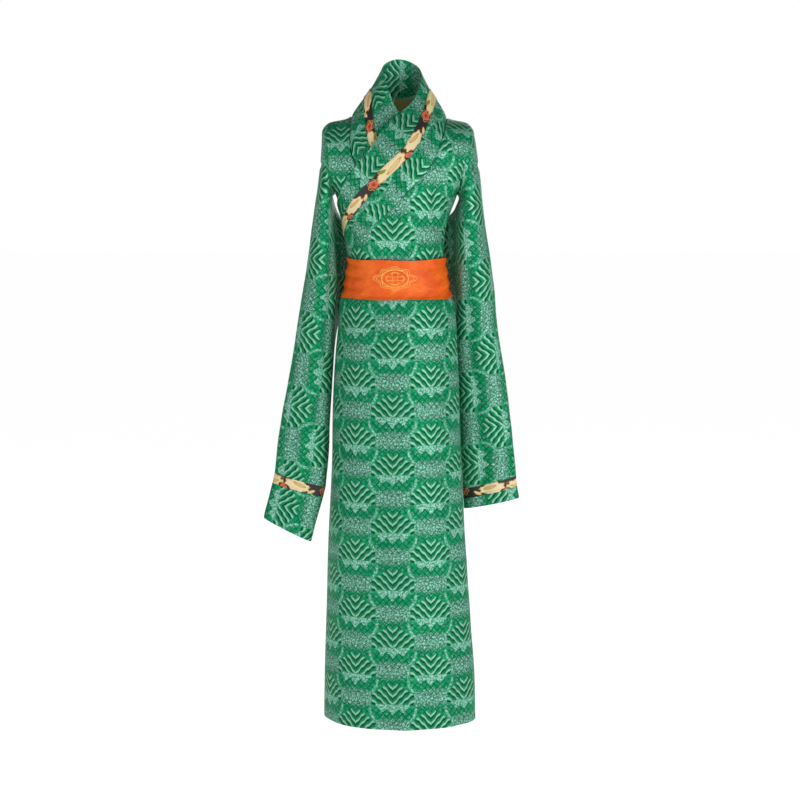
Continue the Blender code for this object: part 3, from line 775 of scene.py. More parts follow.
def front_station(seam_end, seam_angle, free_rows, limit, outer):
    """One line across the band from its seam on a front to its free edge."""
    height = seam_end.z
    free_x, free_y, free_z, stand = [
        read(free_rows, "height", height, name) for name in ("free_x", "free_y", "free_z", "stand")]
    free_height = min(free_z, shoulder_height(free_x) - FREE_EDGE_DROP)
    side = limit * math.pi / 2
    seam_angle = max(-side, min(side, seam_angle))
    free_angle = max(-side, min(side, wrap_angle(free_x, free_height)))
    free_point = Vector((free_x, free_y, free_z))

    def lying(share):
        angle = seam_angle + (free_angle - seam_angle) * share
        level = height + (free_height - height) * share
        across = across_of_angle(angle, level)
        if not outer:
            return raised(across, level, -1, 0.0)
        ease_out = SIDE_EASE * ease((-across - 0.5) / 0.3) * ease(share * 3)
        return raised(across, level, -1, overlap_lift(across, level) + ease_out)

    miss = seam_end - lying(0)

    def at(share):
        on_chest = lying(share) + miss * (1 - share)
        return on_chest.lerp(neck_point(seam_end, free_point, share), stand)

    return at


def neck_point(seam_end, free_point, share):
    """A point of the standing collar: straight up from the seam with an outward swell."""
    away = Vector((seam_end.x, seam_end.y, 0)).normalized()
    swell = away * NECK_BULGE * 4 * share * (1 - share)
    return seam_end.lerp(free_point, share) + swell


def back_station(seam_end):
    """One line across the band behind the neck."""
    free_point = Vector([
        read(BACK_FREE, "across", seam_end.x, name) for name in ("free_x", "free_y", "free_z")])

    def at(share):
        return neck_point(seam_end, free_point, share)

    return at


FREE_COLUMNS = 9           # of the band, from its free edge to the printed strip
TRIM_COLUMNS = 6           # under the strip
SEAM_COLUMNS = 9           # from the strip to the seam


def band_line(at):
    """Points of one line across the band from its free edge to its seam, with the strip's two edges
    among them."""
    fine = [at(i / 12) for i in range(13)]
    width = running_lengths(fine)[-1]
    low = min(SEAM_TO_TRIM / width, 0.86)
    high = min((SEAM_TO_TRIM + TRIM_WIDTH) / width, 0.94)
    shares = [1 - (1 - high) * k / FREE_COLUMNS for k in range(FREE_COLUMNS)]
    shares += [high - (high - low) * k / TRIM_COLUMNS for k in range(TRIM_COLUMNS)]
    shares += [low - low * k / SEAM_COLUMNS for k in range(SEAM_COLUMNS + 1)]
    return [at(share) for share in shares]


def seam_point(grid, i, edge, inside, stand):
    """The band's end of a seam: the panel's edge point, moved off the panel, and up where the band
    stands on it."""
    away = (grid[i][edge] - grid[i][inside]).normalized()
    step = away * (SEAM_GAP * 1.5 + CLOTH * 0.6 * stand)
    return grid[i][edge] + step + Vector((0, 0, STANDING_STEP * stand))


def band_side(grid, edge, inside, seam, turns, free_rows, limit):
    """Lines across the band along one front, from under the sash up to the shoulder."""
    rows = front_rows()
    first = next(i for i, row in enumerate(rows) if row[0] is not None and row[0] >= BAND_END_HEIGHT)
    lines = []
    last_end = None
    for i in range(first, len(rows)):
        height, share = rows[i]
        stand = read(free_rows, "height", grid[i][edge].z, "stand")
        end = seam_point(grid, i, edge, inside, stand)
        near = last_end is not None and (end - last_end).length < BAND_STEP
        if near and i < len(rows) - 1:
            continue
        last_end = end
        angle = seam_turn(seam_across(seam, turns, height, share), share)
        lines.append(band_line(front_station(end, angle, free_rows, limit, edge == 0)))
    return lines


def smoothed(lines, times):
    """Lines across the band with small kinks between neighbours taken out."""
    for _ in range(times):
        middle = [[
            a * 0.25 + b * 0.5 + c * 0.25
            for a, b, c in zip(*lines[i - 1:i + 2])] for i in range(1, len(lines) - 1)]
        lines = [lines[0]] + middle + [lines[-1]]
    return lines


def band_grid(outer_front, inner_front, back):
    """Lines across the band: up the outer front, round the back of the neck, down the inner.  Also
    gives the first and last line of the part round the neck."""
    up = band_side(outer_front, 0, 1, OUTER_SEAM, OUTER_SEAM_TURN, OUTER_FREE, SIDE_LAP)
    down = band_side(inner_front, -1, -2, INNER_SEAM, INNER_SEAM_TURN, INNER_FREE, INNER_LIMIT)
    begin = len(back[-1]) - SHOULDER_COLUMNS - 2
    round_neck = []
    for j in range(begin, SHOULDER_COLUMNS, -1):
        end = back[-1][j] + Vector((0, 0, STANDING_STEP))
        round_neck.append(band_line(back_station(end)))
    lines = up + round_neck + list(reversed(down))
    return smoothed(lines, 4), len(up) - 1, len(up) + len(round_neck)


def band_places(band):
    """Places on the flat band: across from its free edge, and along from its outer end."""
    column = FREE_COLUMNS + TRIM_COLUMNS // 2
    along = running_lengths([line[column] for line in band])
    places = []
    for length, line in zip(along, band):
        places.append([
            (across - BAND_FIGURE[0], length - BAND_FIGURE[1]) for across in running_lengths(line)])
    return places


def on_band(band, rows, columns, distance):
    """A piece that lies on the band: some of its points, moved out by a distance."""
    normals = grid_normals(band, False)
    return [[band[i][j] + normals[i][j] * distance for j in columns] for i in rows]


# ------------------------------------------------------------------ sleeves
def armhole_ring(front, back, edge, inside):
    """Points of the sleeve's first ring: the armhole edges of the front and the back, moved a seam
    gap outwards, from the shoulder tip over the back to the armpit and up the front, and their
    normals, which fade out under the arm.  front and back are pairs of a grid and its normals."""
    first = len(front[0]) - 1 - ARMHOLE_ROWS
    points = []
    normals = []
    for j in range(RING_POINTS):
        row = first + abs(ARMHOLE_ROWS - j)
        panels = [back] if 0 < j < ARMHOLE_ROWS else [front]
        if j in (0, ARMHOLE_ROWS):
            panels = [front, back]
        point = Vector()
        normal = Vector()
        for grid, grid_normal in panels:
            upper = ease(UPPER_SHARES[row - first] / UNDERARM)
            seam = (grid[row][edge] - grid[row][inside]).normalized() * SEAM_GAP
            fold = Vector((math.copysign(UNDERARM_GAP, grid[row][edge].x), 0, 0))
            point += (grid[row][edge] + fold.lerp(seam, upper)) / len(panels)
            normal += grid_normal[row][edge] * upper
        points.append(point)
        normals.append(normal.normalized() * upper)
    return points, normals


def sleeve_ring(row):
    """One ring of a sleeve; the tuck draws its inner side in behind the arm."""
    outer = Vector((row["outer_x"], row["mid_y"], row["outer_z"]))
    inner = Vector((row["inner_x"], row["mid_y"], row["inner_z"]))
    middle = (outer + inner) / 2
    half = (outer - inner) / 2
    inward = -half.normalized()
    points = []
    for j in range(RING_POINTS):
        angle = 2 * math.pi * j / RING_POINTS
        back = max(0.0, math.sin(angle))
        tuck = row["tuck"] * back ** 2 * (1 - math.cos(angle)) / 1.2
        point = middle + half * math.cos(angle) + inward * tuck
        point.y += row["half_depth"] * math.sin(angle)
        points.append(point)
    return points


def between(rings, steps):
    """More rings between the given ones, on a smooth curve through each of their points."""
    columns = []
    for j in range(len(rings[0])):
        points = [ring[j] for ring in rings]
        lengths = running_lengths(points)
        slopes = slopes_of(lengths, points)
        column = []
        for i in range(len(points) - 1):
            span = lengths[i + 1] - lengths[i]
            for k in range(steps):
                start, leaving, end, arriving = curve_weights(k / steps)
                column.append(
                    points[i] * start + slopes[i] * span * leaving
                    + points[i + 1] * end + slopes[i + 1] * span * arriving)
        column.append(points[-1])
        columns.append(column)
    return [list(ring) for ring in zip(*columns)]


def apart(ring, other, gap):
    """A ring moved towards another by a gap."""
    return [a + (b - a).normalized() * gap for a, b in zip(ring, other)]


def from_underarm(ring, sign):
    """A ring that starts under the arm, in the order round that gives outward normals."""
    half = len(ring) // 2
    ring = ring[half:] + ring[:half]
    if sign > 0:
        return ring
    return [ring[-j % len(ring)] for j in range(len(ring))]


def middle_line(rings):
    """The middle of each ring, and how far along the sleeve it lies."""
    centres = [sum(ring, Vector()) / len(ring) for ring in rings]
    return centres, running_lengths(centres)


def ring_places(rings, sign):
    """How far each point, and the first once more, lies along the sleeve from its first ring, and
    round it from its outer fold towards the front.  The rings go down the sleeve."""
    centres, lengths = middle_line(rings)
    places = []
    for i, ring in enumerate(rings):
        axis = centres[min(i + 1, len(rings) - 1)] - centres[max(i - 1, 0)]
        axis.normalize()
        closed = ring + [ring[0]]
        square = [point - axis * (point - centres[i]).dot(axis) for point in closed]
        round_it = running_lengths(square)
        fold = round_it[len(ring) // 2]
        places.append([
            (lengths[i] + (point - centres[i]).dot(axis), sign * (fold - part))
            for point, part in zip(closed, round_it)])
    return places


def length_at(rings, height):
    """How far along the sleeve the middle of its rings comes down to a height."""
    centres, lengths = middle_line(rings)
    for i in range(len(centres) - 1):
        if centres[i].z >= height > centres[i + 1].z:
            part = (centres[i].z - height) / (centres[i].z - centres[i + 1].z)
            return lengths[i] + (lengths[i + 1] - lengths[i]) * part
    return 0.0


# ------------------------------------------------------------------ sash
def sash_grid(columns=260, rows=26):
    """The sash as one strip wound once round, its outer end lapping the inner at the back.  It has
    soft creases along it and edges that the winding makes a little uneven."""
    start = math.radians(-SASH_TURN / 2)
    turn = math.radians(SASH_TURN)
    grid = []
    for i in range(rows + 1):
        level = i / rows
        row = []
        for j in range(columns + 1):
            share = j / columns
            angle = start + turn * share
            side = -1 if math.cos(angle) > 0 else 1
            height = SASH_BOTTOM + (SASH_TOP - SASH_BOTTOM) * level
            height -= SASH_FRONT_DROOP * max(0.0, math.cos(angle)) * (0.4 + 0.6 * level)
            edge = (2 * level - 1) ** 4
            height += 0.9 * edge * math.sin(5 * angle + 3 * level)
            middle = read(BODY, "height", height, "middle")
            half = read(BODY, "height", height, "half_width")
            depth = read(BODY, "height", height, "back" if side > 0 else "front")
            lift = SASH_LIFT + SASH_OVERLAP_LIFT * ease((share - 0.8) / 0.1)
            lift += sash_crease(angle, level)
            row.append(Vector((
                middle + (half + lift) * math.sin(angle),
                -(depth + lift) * math.cos(angle),
                height)))
        grid.append(row)
    places = [[(length, row[0].z) for length in running_lengths(row)] for row in grid]
    return grid, places


def sash_crease(angle, level):
    """Soft creases along the sash, deeper at the sides where it turns."""
    side = ease((abs(math.sin(angle)) - 0.55) / 0.4)
    waves = math.sin(level * 21 + 1.1 * math.sin(angle * 2) + 0.4)
    finer = math.sin(level * 44 + 2.3 * math.sin(angle * 1.3 + 1))
    out = waves * (0.25 + 1.5 * side) + finer * (0.12 + 0.35 * side)
    return out * ease(level / 0.06) * ease((1 - level) / 0.06)


# ------------------------------------------------------------------ nodes of materials and geometry
def give(tree, node, inputs):
    """Set a node's inputs.  Each is a value, a socket, or a node whose first output is meant."""
    for name, value in inputs.items():
        if isinstance(value, bpy.types.Node):
            value = value.outputs[0]
        if isinstance(value, bpy.types.NodeSocket):
            tree.links.new(value, node.inputs[name])
        else:
            node.inputs[name].default_value = value


def add(tree, kind, settings=None, inputs=None):
    """Add a node with its settings and its inputs."""
    made = tree.nodes.new(kind)
    for name, value in (settings or {}).items():
        setattr(made, name, value)
    give(tree, made, inputs or {})
    return made


def colour(code):
    """An sRGB hex colour as linear red, green, blue and alpha."""
    parts = [int(code[i:i + 2], 16) / 255 for i in (1, 3, 5)]
    linear = [part / 12.92 if part <= 0.04045 else ((part + 0.055) / 1.055) ** 2.4 for part in parts]
    return (*linear, 1.0)


def new_material(name):
    """An empty material, its tree, its shader, and the place on the flat cloth in millimetres."""
    material = bpy.data.materials.new(name)
    material.use_nodes = True
    tree = material.node_tree
    place = add(tree, "ShaderNodeUVMap", {"uv_map": "cloth"})
    flat = add(tree, "ShaderNodeVectorMath", {"operation": "SCALE"}, {0: place, "Scale": 1000.0})
    return material, tree, tree.nodes["Principled BSDF"], flat


# One fan of the brocade and what lies round it, in millimetres from the top of the fan: a is the
# distance from its middle line and y the distance below its top.  Each step names what it works
# out, the operation, and what that takes; the ones marked True are held between 0 and 1.
FAN_STEPS = (
    ("a_signed", "WRAP", ("across", 90.0, -90.0), False),
    ("a", "ABSOLUTE", ("a_signed",), False),
    ("y", "WRAP", ("down", 129.0, -8.0), False),
    # rippling lines that run up and out from the middle, a pale and a dark thread line each 19 mm
    ("ripple_turn", "MULTIPLY_ADD", ("a", 0.465, 0.9), False),
    ("ripple", "SINE", ("ripple_turn",), False),
    ("lean", "MULTIPLY_ADD", ("a", -0.0065, 1.3), False),
    ("slope", "MULTIPLY_ADD", ("a", "lean", "y"), False),
    ("s", "MULTIPLY_ADD", ("ripple", 1.2, "slope"), False),
    ("lines", "MULTIPLY_ADD", ("s", 1 / 18.6, -0.73), False),
    ("line", "WRAP", ("lines", 0.5, -0.5), False),
    ("off_pale", "ABSOLUTE", ("line",), False),
    ("pale_line", "MULTIPLY_ADD", ("off_pale", -9.0, 1.8), True),
    ("dark_from", "SUBTRACT", ("line", 0.36), False),
    ("off_dark", "ABSOLUTE", ("dark_from",), False),
    ("dark_line", "MULTIPLY_ADD", ("off_dark", -9.0, 1.5), True),
    ("roof", "MULTIPLY_ADD", ("a", -0.7, "y"), False),
    ("roof_in", "MULTIPLY_ADD", ("roof", 0.4, 3.9), True),
    ("side_in", "MULTIPLY_ADD", ("a", -0.4, 20.4), True),
    ("foot_in", "MULTIPLY_ADD", ("y", -0.4, 21.6), True),
    ("tip_in", "MULTIPLY_ADD", ("s", 0.4, -2.4), True),
    ("fan_tip", "MULTIPLY", ("roof_in", "tip_in"), False),
    ("fan_top", "MULTIPLY", ("fan_tip", "side_in"), False),
    ("whole_fan", "MULTIPLY", ("fan_top", "foot_in"), False),
    # the silver cloud at its foot, with two side puffs
    ("puff_turn", "MULTIPLY", ("a", 0.25), False),
    ("puff", "COSINE", ("puff_turn",), False),
    ("cloud_edge", "MULTIPLY_ADD", ("a", -0.25, 73.0), False),
    ("cloud_foot", "MULTIPLY_ADD", ("puff", 5.5, "cloud_edge"), False),
    ("cloud_gap", "SUBTRACT", ("cloud_foot", "y"), False),
    ("cloud_rough", "MULTIPLY_ADD", ("speck", 16.0, "cloud_gap"), False),
    ("cloud_low", "MULTIPLY_ADD", ("cloud_rough", 0.4, -0.8), True),
    ("cloud_high", "MULTIPLY_ADD", ("y", 0.25, -11.7), True),
    ("cloud_side", "MULTIPLY_ADD", ("a", -0.3, 12.6), True),
    ("cloud_in", "MULTIPLY", ("cloud_low", "cloud_high"), False),
    ("cloud", "MULTIPLY", ("cloud_in", "cloud_side"), False),
    ("not_cloud", "SUBTRACT", (1.0, "cloud"), False),
    ("fan", "MULTIPLY", ("whole_fan", "not_cloud"), False),
    ("pale", "MULTIPLY", ("pale_line", "fan"), False),
    ("dark", "MULTIPLY", ("dark_line", "fan"), False),
    # an arc under the cloud, and scales of dark thread inside it
    ("below", "SUBTRACT", ("y", 60.0), False),
    ("below_2", "MULTIPLY", ("below", "below"), False),
    ("below_3", "MULTIPLY", ("below_2", 1.5), False),
    ("ring_2", "MULTIPLY_ADD", ("a", "a", "below_3"), False),
    ("ring", "SQRT", ("ring_2",), False),
    ("from_arc", "SUBTRACT", ("ring", 54.0), False),
    ("off_arc", "ABSOLUTE", ("from_arc",), False),
    ("arc_rough", "MULTIPLY_ADD", ("speck", 9.0, "off_arc"), False),
    ("arc_line", "MULTIPLY_ADD", ("arc_rough", -0.3, 1.3), True),
    ("low_half", "MULTIPLY_ADD", ("below", 0.2, 0.5), True),
    ("arc", "MULTIPLY", ("arc_line", "low_half"), False),
    ("bowl", "MULTIPLY_ADD", ("from_arc", -0.4, -1.0), True),
    ("scales_in", "MULTIPLY", ("bowl", "low_half"), False),
    ("scale_down", "MULTIPLY", ("y", 1 / 16), False),
    ("scale_one", "MULTIPLY_ADD", ("a", 1 / 15, "scale_down"), False),
    ("scale_two", "MULTIPLY_ADD", ("a", -1 / 15, "scale_down"), False),
    ("near_one", "PINGPONG", ("scale_one", 0.5), False),
    ("near_two", "PINGPONG", ("scale_two", 0.5), False),
    ("near", "MINIMUM", ("near_one", "near_two"), False),
    ("mesh_line", "MULTIPLY_ADD", ("near", -9.0, 1.4), True),
    # the same mesh above the fan's top
    ("ends", "ABSOLUTE", ("below",), False),
    ("ends_in", "MULTIPLY_ADD", ("ends", 0.3, -16.0), True),
    ("ends_side", "MULTIPLY_ADD", ("a", -0.3, 10.5), True),
    ("top_mesh", "MULTIPLY", ("ends_in", "ends_side"), False),
    ("meshed", "MAXIMUM", ("top_mesh", "scales_in"), False),
    ("mesh_only", "MULTIPLY", ("meshed", "mesh_line"), False),
    # the silver flowers between one fan's arc and the top of the next
    ("flower_a", "MULTIPLY", ("a", 1 / 56), False),
    ("flower_from", "SUBTRACT", ("y", 105.0), False),
    ("flower_y", "MULTIPLY", ("flower_from", 1 / 20), False),
    ("flower_y_2", "MULTIPLY", ("flower_y", "flower_y"), False),
    ("flower_2", "MULTIPLY_ADD", ("flower_a", "flower_a", "flower_y_2"), False),
    ("flower_edge", "MULTIPLY_ADD", ("speck", 3.0, "flower_2"), False),
    ("flowers", "MULTIPLY_ADD", ("flower_edge", -2.5, 3.0), True),
    ("petal_line", "MULTIPLY_ADD", ("petal_edge", -5.0, 1.0), True),
    ("petals", "MULTIPLY", ("petal_line", "flowers"), False),
    ("silver_1", "MAXIMUM", ("cloud", "flowers"), False),
    ("silver", "MAXIMUM", ("silver_1", "arc"), False),
    ("mesh", "MULTIPLY", ("mesh_only", "not_cloud"), False),
    ("outline", "MAXIMUM", ("mesh", "petals"), False),
)

FAN_TAKES = ("across", "down", "speck", "petal_edge")
FAN_RESULTS = ("fan", "pale", "dark", "silver", "outline")


def fan_group():
    """The brocade's figure as a node group.  It is used twice, half a repeat apart both ways."""
    tree = bpy.data.node_groups.new("brocade_fan", "ShaderNodeTree")
    for direction, names in (("INPUT", FAN_TAKES), ("OUTPUT", FAN_RESULTS)):
        for name in names:
            tree.interface.new_socket(name, in_out=direction, socket_type="NodeSocketFloat")
    entry = add(tree, "NodeGroupInput")
    known = {name: entry.outputs[name] for name in FAN_TAKES}
    for name, operation, takes, held in FAN_STEPS:
        sources = {i: known.get(taken, taken) for i, taken in enumerate(takes)}
        settings = {"operation": operation, "use_clamp": held}
        known[name] = add(tree, "ShaderNodeMath", settings, sources)
    add(tree, "NodeGroupOutput", None, {name: known[name] for name in FAN_RESULTS})
    return tree


GROUND = "#0A7F50"
# a lit copy of the ground green, painted in broad patches as sheen
GROUND_LIT = "#16A068"
SILVER = "#43A388"
# a lit copy of the silver, painted in specks as glints
SILVER_LIT = "#A9D8CC"
PALE = "#8FCCAB"
FAN_GREEN = "#1F7A54"
DEEP = "#06482F"


def make_brocade(fan_tree):
    """Silk brocade: a green satin ground with a figure of floating silver and pale green weft.  The
    ground shines along the folds and has painted sheen, a lighter green in broad patches; the silver
    has painted glints in specks, and the figure stands a little proud."""
    material, tree, shader, flat = new_material("silk_brocade")
    apart = add(tree, "ShaderNodeSeparateXYZ", None, {0: flat})
    down = add(tree, "ShaderNodeMath", {"operation": "MULTIPLY"}, {0: apart.outputs[1], 1: -1.0})
    # tufts of float about 8 mm across
    specks = add(tree, "ShaderNodeTexNoise", {"noise_dimensions": "2D"}, {
        "Vector": flat, "Scale": 0.12, "Detail": 3.0, "Roughness": 0.8})
    speck = add(tree, "ShaderNodeMath", {"operation": "SUBTRACT"}, {0: specks.outputs[0], 1: 0.5})
    petals = add(tree, "ShaderNodeTexVoronoi", {
        "voronoi_dimensions": "2D", "feature": "DISTANCE_TO_EDGE"}, {"Vector": flat, "Scale": 0.13})
    fans = []
    for across_step, down_step in ((0.0, 0.0), (90.0, 68.5)):
        across = add(tree, "ShaderNodeMath", {"operation": "ADD"}, {
            0: apart.outputs[0], 1: across_step})
        below = add(tree, "ShaderNodeMath", {"operation": "ADD"}, {0: down, 1: down_step})
        fans.append(add(tree, "ShaderNodeGroup", {"node_tree": fan_tree}, {
            "across": across, "down": below, "speck": speck, "petal_edge": petals.outputs[0]}))
    shown = {}
    for name in FAN_RESULTS:
        shown[name] = add(tree, "ShaderNodeMath", {"operation": "MAXIMUM"}, {
            i: fan.outputs[name] for i, fan in enumerate(fans)})
    off_fan = add(tree, "ShaderNodeMath", {"operation": "SUBTRACT"}, {0: 1.0, 1: shown["fan"]})
    for name in ("silver", "outline"):
        shown[name] = add(tree, "ShaderNodeMath", {"operation": "MULTIPLY"}, {
            0: shown[name], 1: off_fan})
    # stray floats of silver all over the ground, thicker in some places than in others
    stray = add(tree, "ShaderNodeMapRange", None, {
        0: specks.outputs[0], 1: 0.53, 2: 0.65, 3: 0.0, 4: 0.5})
    silver = add(tree, "ShaderNodeMath", {"operation": "MAXIMUM"}, {0: shown["silver"], 1: stray})
    glint = add(tree, "ShaderNodeTexNoise", {"noise_dimensions": "2D"}, {
        "Vector": flat, "Scale": 0.21, "Detail": 2.0, "Roughness": 0.9})
    broad = add(tree, "ShaderNodeTexNoise", {"noise_dimensions": "2D"}, {
        "Vector": flat, "Scale": 0.012, "Detail": 2.0})
    # broken threads let the ground through the silver, and the same noise paints glints: the silver is
    # painted a lit silver where it is least broken
    wear_and_glint = add(tree, "ShaderNodeMapRange", None, {
        0: glint.outputs[0], 1: 0.44, 2: 0.56, 3: 0.25, 4: 1.0})
    silver = add(tree, "ShaderNodeMath", {"operation": "MULTIPLY"}, {0: silver, 1: wear_and_glint})
    # painted glints: the silver goes to its lit colour where the noise is high
    silver_colour = add(tree, "ShaderNodeMix", {"data_type": "RGBA"}, {
        0: wear_and_glint, 6: colour(SILVER), 7: colour(SILVER_LIT)})
    # painted sheen: the ground goes to its lit green in broad patches
    look = add(tree, "ShaderNodeMix", {"data_type": "RGBA"}, {
        0: broad.outputs[0], 6: colour(GROUND), 7: colour(GROUND_LIT)})
    fan_part = add(tree, "ShaderNodeMath", {"operation": "MULTIPLY"}, {0: shown["fan"], 1: 0.7})
    outline = add(tree, "ShaderNodeMath", {"operation": "MULTIPLY"}, {0: shown["outline"], 1: 0.75})
    # woven over the ground from the first to the last
    layers = (
        (silver, silver_colour.outputs[2]),
        (fan_part, colour(FAN_GREEN)),
        (outline, colour(DEEP)),
        (shown["dark"], colour(DEEP)),
        (shown["pale"], colour(PALE)),
    )
    for mask, tint in layers:
        look = add(tree, "ShaderNodeMix", {"data_type": "RGBA"}, {
            0: mask, 6: look.outputs[2], 7: tint})
    raised_part = add(tree, "ShaderNodeMath", {"operation": "MAXIMUM"}, {
        0: silver, 1: shown["pale"]})
    metal = add(tree, "ShaderNodeMapRange", None, {0: raised_part, 3: 0.12, 4: 0.42})
    rough = add(tree, "ShaderNodeMapRange", None, {0: raised_part, 3: 0.40, 4: 0.47})
    # weft threads, drawn 1.2 mm apart: the real 0.3 mm wouldn't show
    weft = add(tree, "ShaderNodeTexWave", {"bands_direction": "Y"}, {
        "Vector": flat, "Scale": 0.26, "Distortion": 0.6, "Detail": 1.0})
    height = add(tree, "ShaderNodeMath", {"operation": "MULTIPLY_ADD"}, {
        0: weft.outputs[1], 1: 0.25, 2: raised_part})
    height = add(tree, "ShaderNodeMath", {"operation": "MULTIPLY_ADD"}, {
        0: glint.outputs[0], 1: 0.6, 2: height})
    relief = add(tree, "ShaderNodeBump", None, {
        "Strength": 0.55, "Distance": 0.0006, "Height": height})
    give(tree, shader, {
        "Base Color": look.outputs[2], "Metallic": metal, "Roughness": rough, "Normal": relief,
        "Specular IOR Level": 0.08, "Specular Tint": colour("#4FA88A")})
    return material


def make_lining_cloth():
    """Plain-woven viscose lining: olive, dull, with a slight slub along its threads."""
    material, tree, shader, flat = new_material("olive_viscose_lining")
    stretched = add(tree, "ShaderNodeMapping", None, {0: flat, "Scale": (1.0, 0.12, 1.0)})
    slub = add(tree, "ShaderNodeTexNoise", {"noise_dimensions": "2D"}, {
        "Vector": stretched, "Scale": 0.5, "Detail": 3.0})
    look = add(tree, "ShaderNodeMix", {"data_type": "RGBA"}, {
        0: slub.outputs[0], 6: colour("#8C9450"), 7: colour("#A9A66C")})
    relief = add(tree, "ShaderNodeBump", None, {
        "Strength": 0.3, "Distance": 0.0003, "Height": slub.outputs[0]})
    give(tree, shader, {
        "Base Color": look.outputs[2], "Normal": relief, "Roughness": 0.62, "Sheen Weight": 0.2})
    return material


def make_tape():
    """Cotton tape in cream, woven with small ribs across it, with painted shade in the grooves between
    them.
    """
    material, tree, shader, flat = new_material("cotton_tape")
    ribs_and_painted_shade = add(tree, "ShaderNodeTexWave", {"bands_direction": "Y"}, {"Vector": flat, "Scale": 0.35})
    # painted shade: the grooves between the ribs are darker
    look = add(tree, "ShaderNodeMix", {"data_type": "RGBA"}, {
        0: ribs_and_painted_shade.outputs[1], 6: colour("#C9B98C"), 7: colour("#EADFBE")})
    relief = add(tree, "ShaderNodeBump", None, {
        "Strength": 0.5, "Distance": 0.0003, "Height": ribs_and_painted_shade.outputs[1]})
    give(tree, shader, {"Base Color": look.outputs[2], "Normal": relief, "Roughness": 0.8})
    return material


def make_satin():
    """Polyester satin in orange: long floats along the sash that shine, with faint slubs and with painted
    sheen, a shaded and a lit orange mixed in streaks.
    """
    material, tree, shader, flat = new_material("orange_satin")
    stretched = add(tree, "ShaderNodeMapping", None, {0: flat, "Scale": (0.1, 1.0, 1.0)})
    slub = add(tree, "ShaderNodeTexNoise", {"noise_dimensions": "2D"}, {
        "Vector": stretched, "Scale": 0.7, "Detail": 3.0, "Roughness": 0.6})
    broad = add(tree, "ShaderNodeTexNoise", {"noise_dimensions": "2D"}, {
        "Vector": flat, "Scale": 0.02, "Detail": 2.0})
    mixed = add(tree, "ShaderNodeMath", {"operation": "MULTIPLY"}, {
        0: slub.outputs[0], 1: broad.outputs[0]})
    slubs_and_painted_sheen = add(tree, "ShaderNodeMapRange", None, {0: mixed, 1: 0.1, 2: 0.45})
    # painted sheen and slubs: a shaded and a lit orange mixed in streaks along the sash
    look = add(tree, "ShaderNodeMix", {"data_type": "RGBA"}, {
        0: slubs_and_painted_sheen, 6: colour("#E0480A"), 7: colour("#FF7A1C")})
    # weft threads, drawn 1 mm apart so that they show
    weft = add(tree, "ShaderNodeTexWave", {"bands_direction": "Y"}, {
        "Vector": flat, "Scale": 0.32, "Distortion": 0.5})
    height = add(tree, "ShaderNodeMath", {"operation": "ADD"}, {
        0: weft.outputs[1], 1: slub.outputs[0]})
    relief = add(tree, "ShaderNodeBump", None, {
        "Strength": 0.3, "Distance": 0.0003, "Height": height})
    give(tree, shader, {
        "Base Color": look.outputs[2], "Normal": relief, "Roughness": 0.5, "Specular IOR Level": 0.3})
    return material


def make_thread(name, dark, light):
    """Twisted polyester thread: a little gloss, and painted highlights, a dark and a lit shade of its
    colour mixed by noise for the light its twist catches.
    """
    material = bpy.data.materials.new(name)
    material.use_nodes = True
    tree = material.node_tree
    shader = tree.nodes["Principled BSDF"]
    place = add(tree, "ShaderNodeTexCoord")
    twist = add(tree, "ShaderNodeTexNoise", None, {
        "Vector": place.outputs["Object"], "Scale": 900.0, "Detail": 1.0})
    # painted highlights: noise mixes a dark and a lit shade of the thread
    look = add(tree, "ShaderNodeMix", {"data_type": "RGBA"}, {
        0: twist.outputs[0], 6: colour(dark), 7: colour(light)})
    give(tree, shader, {"Base Color": look.outputs[2], "Roughness": 0.45})
    return material


# The print's repeat, in millimetres along the strip and across it, drawn from the bottom one up.
PRINT_REPEAT = 210.0
PRINT_PARTS = table(
    "along across length width turn lobes scallop fill rim rim_share",
    (22, 14, 30, 26, 0, 6, 0.10, "#1E1A18", "#C99A3F", 0.12),
    (22, 13, 21, 19, 20, 5, 0.12, "#D9563F", "#E88A5C", 0.16),
    (22, 13, 8, 7, 0, 5, 0.10, "#9E2F24", "#9E2F24", 0.2),
    (78, 13, 92, 32, -6, 9, 0.05, "#F0DBA8", "#C99A3F", 0.07),
    (86, 15, 54, 9, -8, 3, 0.05, "#E6C98A", "#C99A3F", 0.22),
    (56, 6, 22, 8, 20, 3, 0.08, "#8C8B3A", "#C99A3F", 0.2),
    (128, 22, 18, 12, 30, 5, 0.12, "#D9563F", "#E88A5C", 0.2),
    (160, 12, 62, 27, 8, 8, 0.08, "#F3DDB0", "#C99A3F", 0.08),
    (166, 10, 34, 8, 14, 3, 0.06, "#DDBA78", "#C99A3F", 0.25),
    (196, 22, 20, 8, -25, 3, 0.05, "#EBD19A", "#C99A3F", 0.2),
)
PRINT_EDGE = 1.15          # a part's rim ends where its distance measure reaches this
PRINT_BLEED = 0.04         # how softly it ends


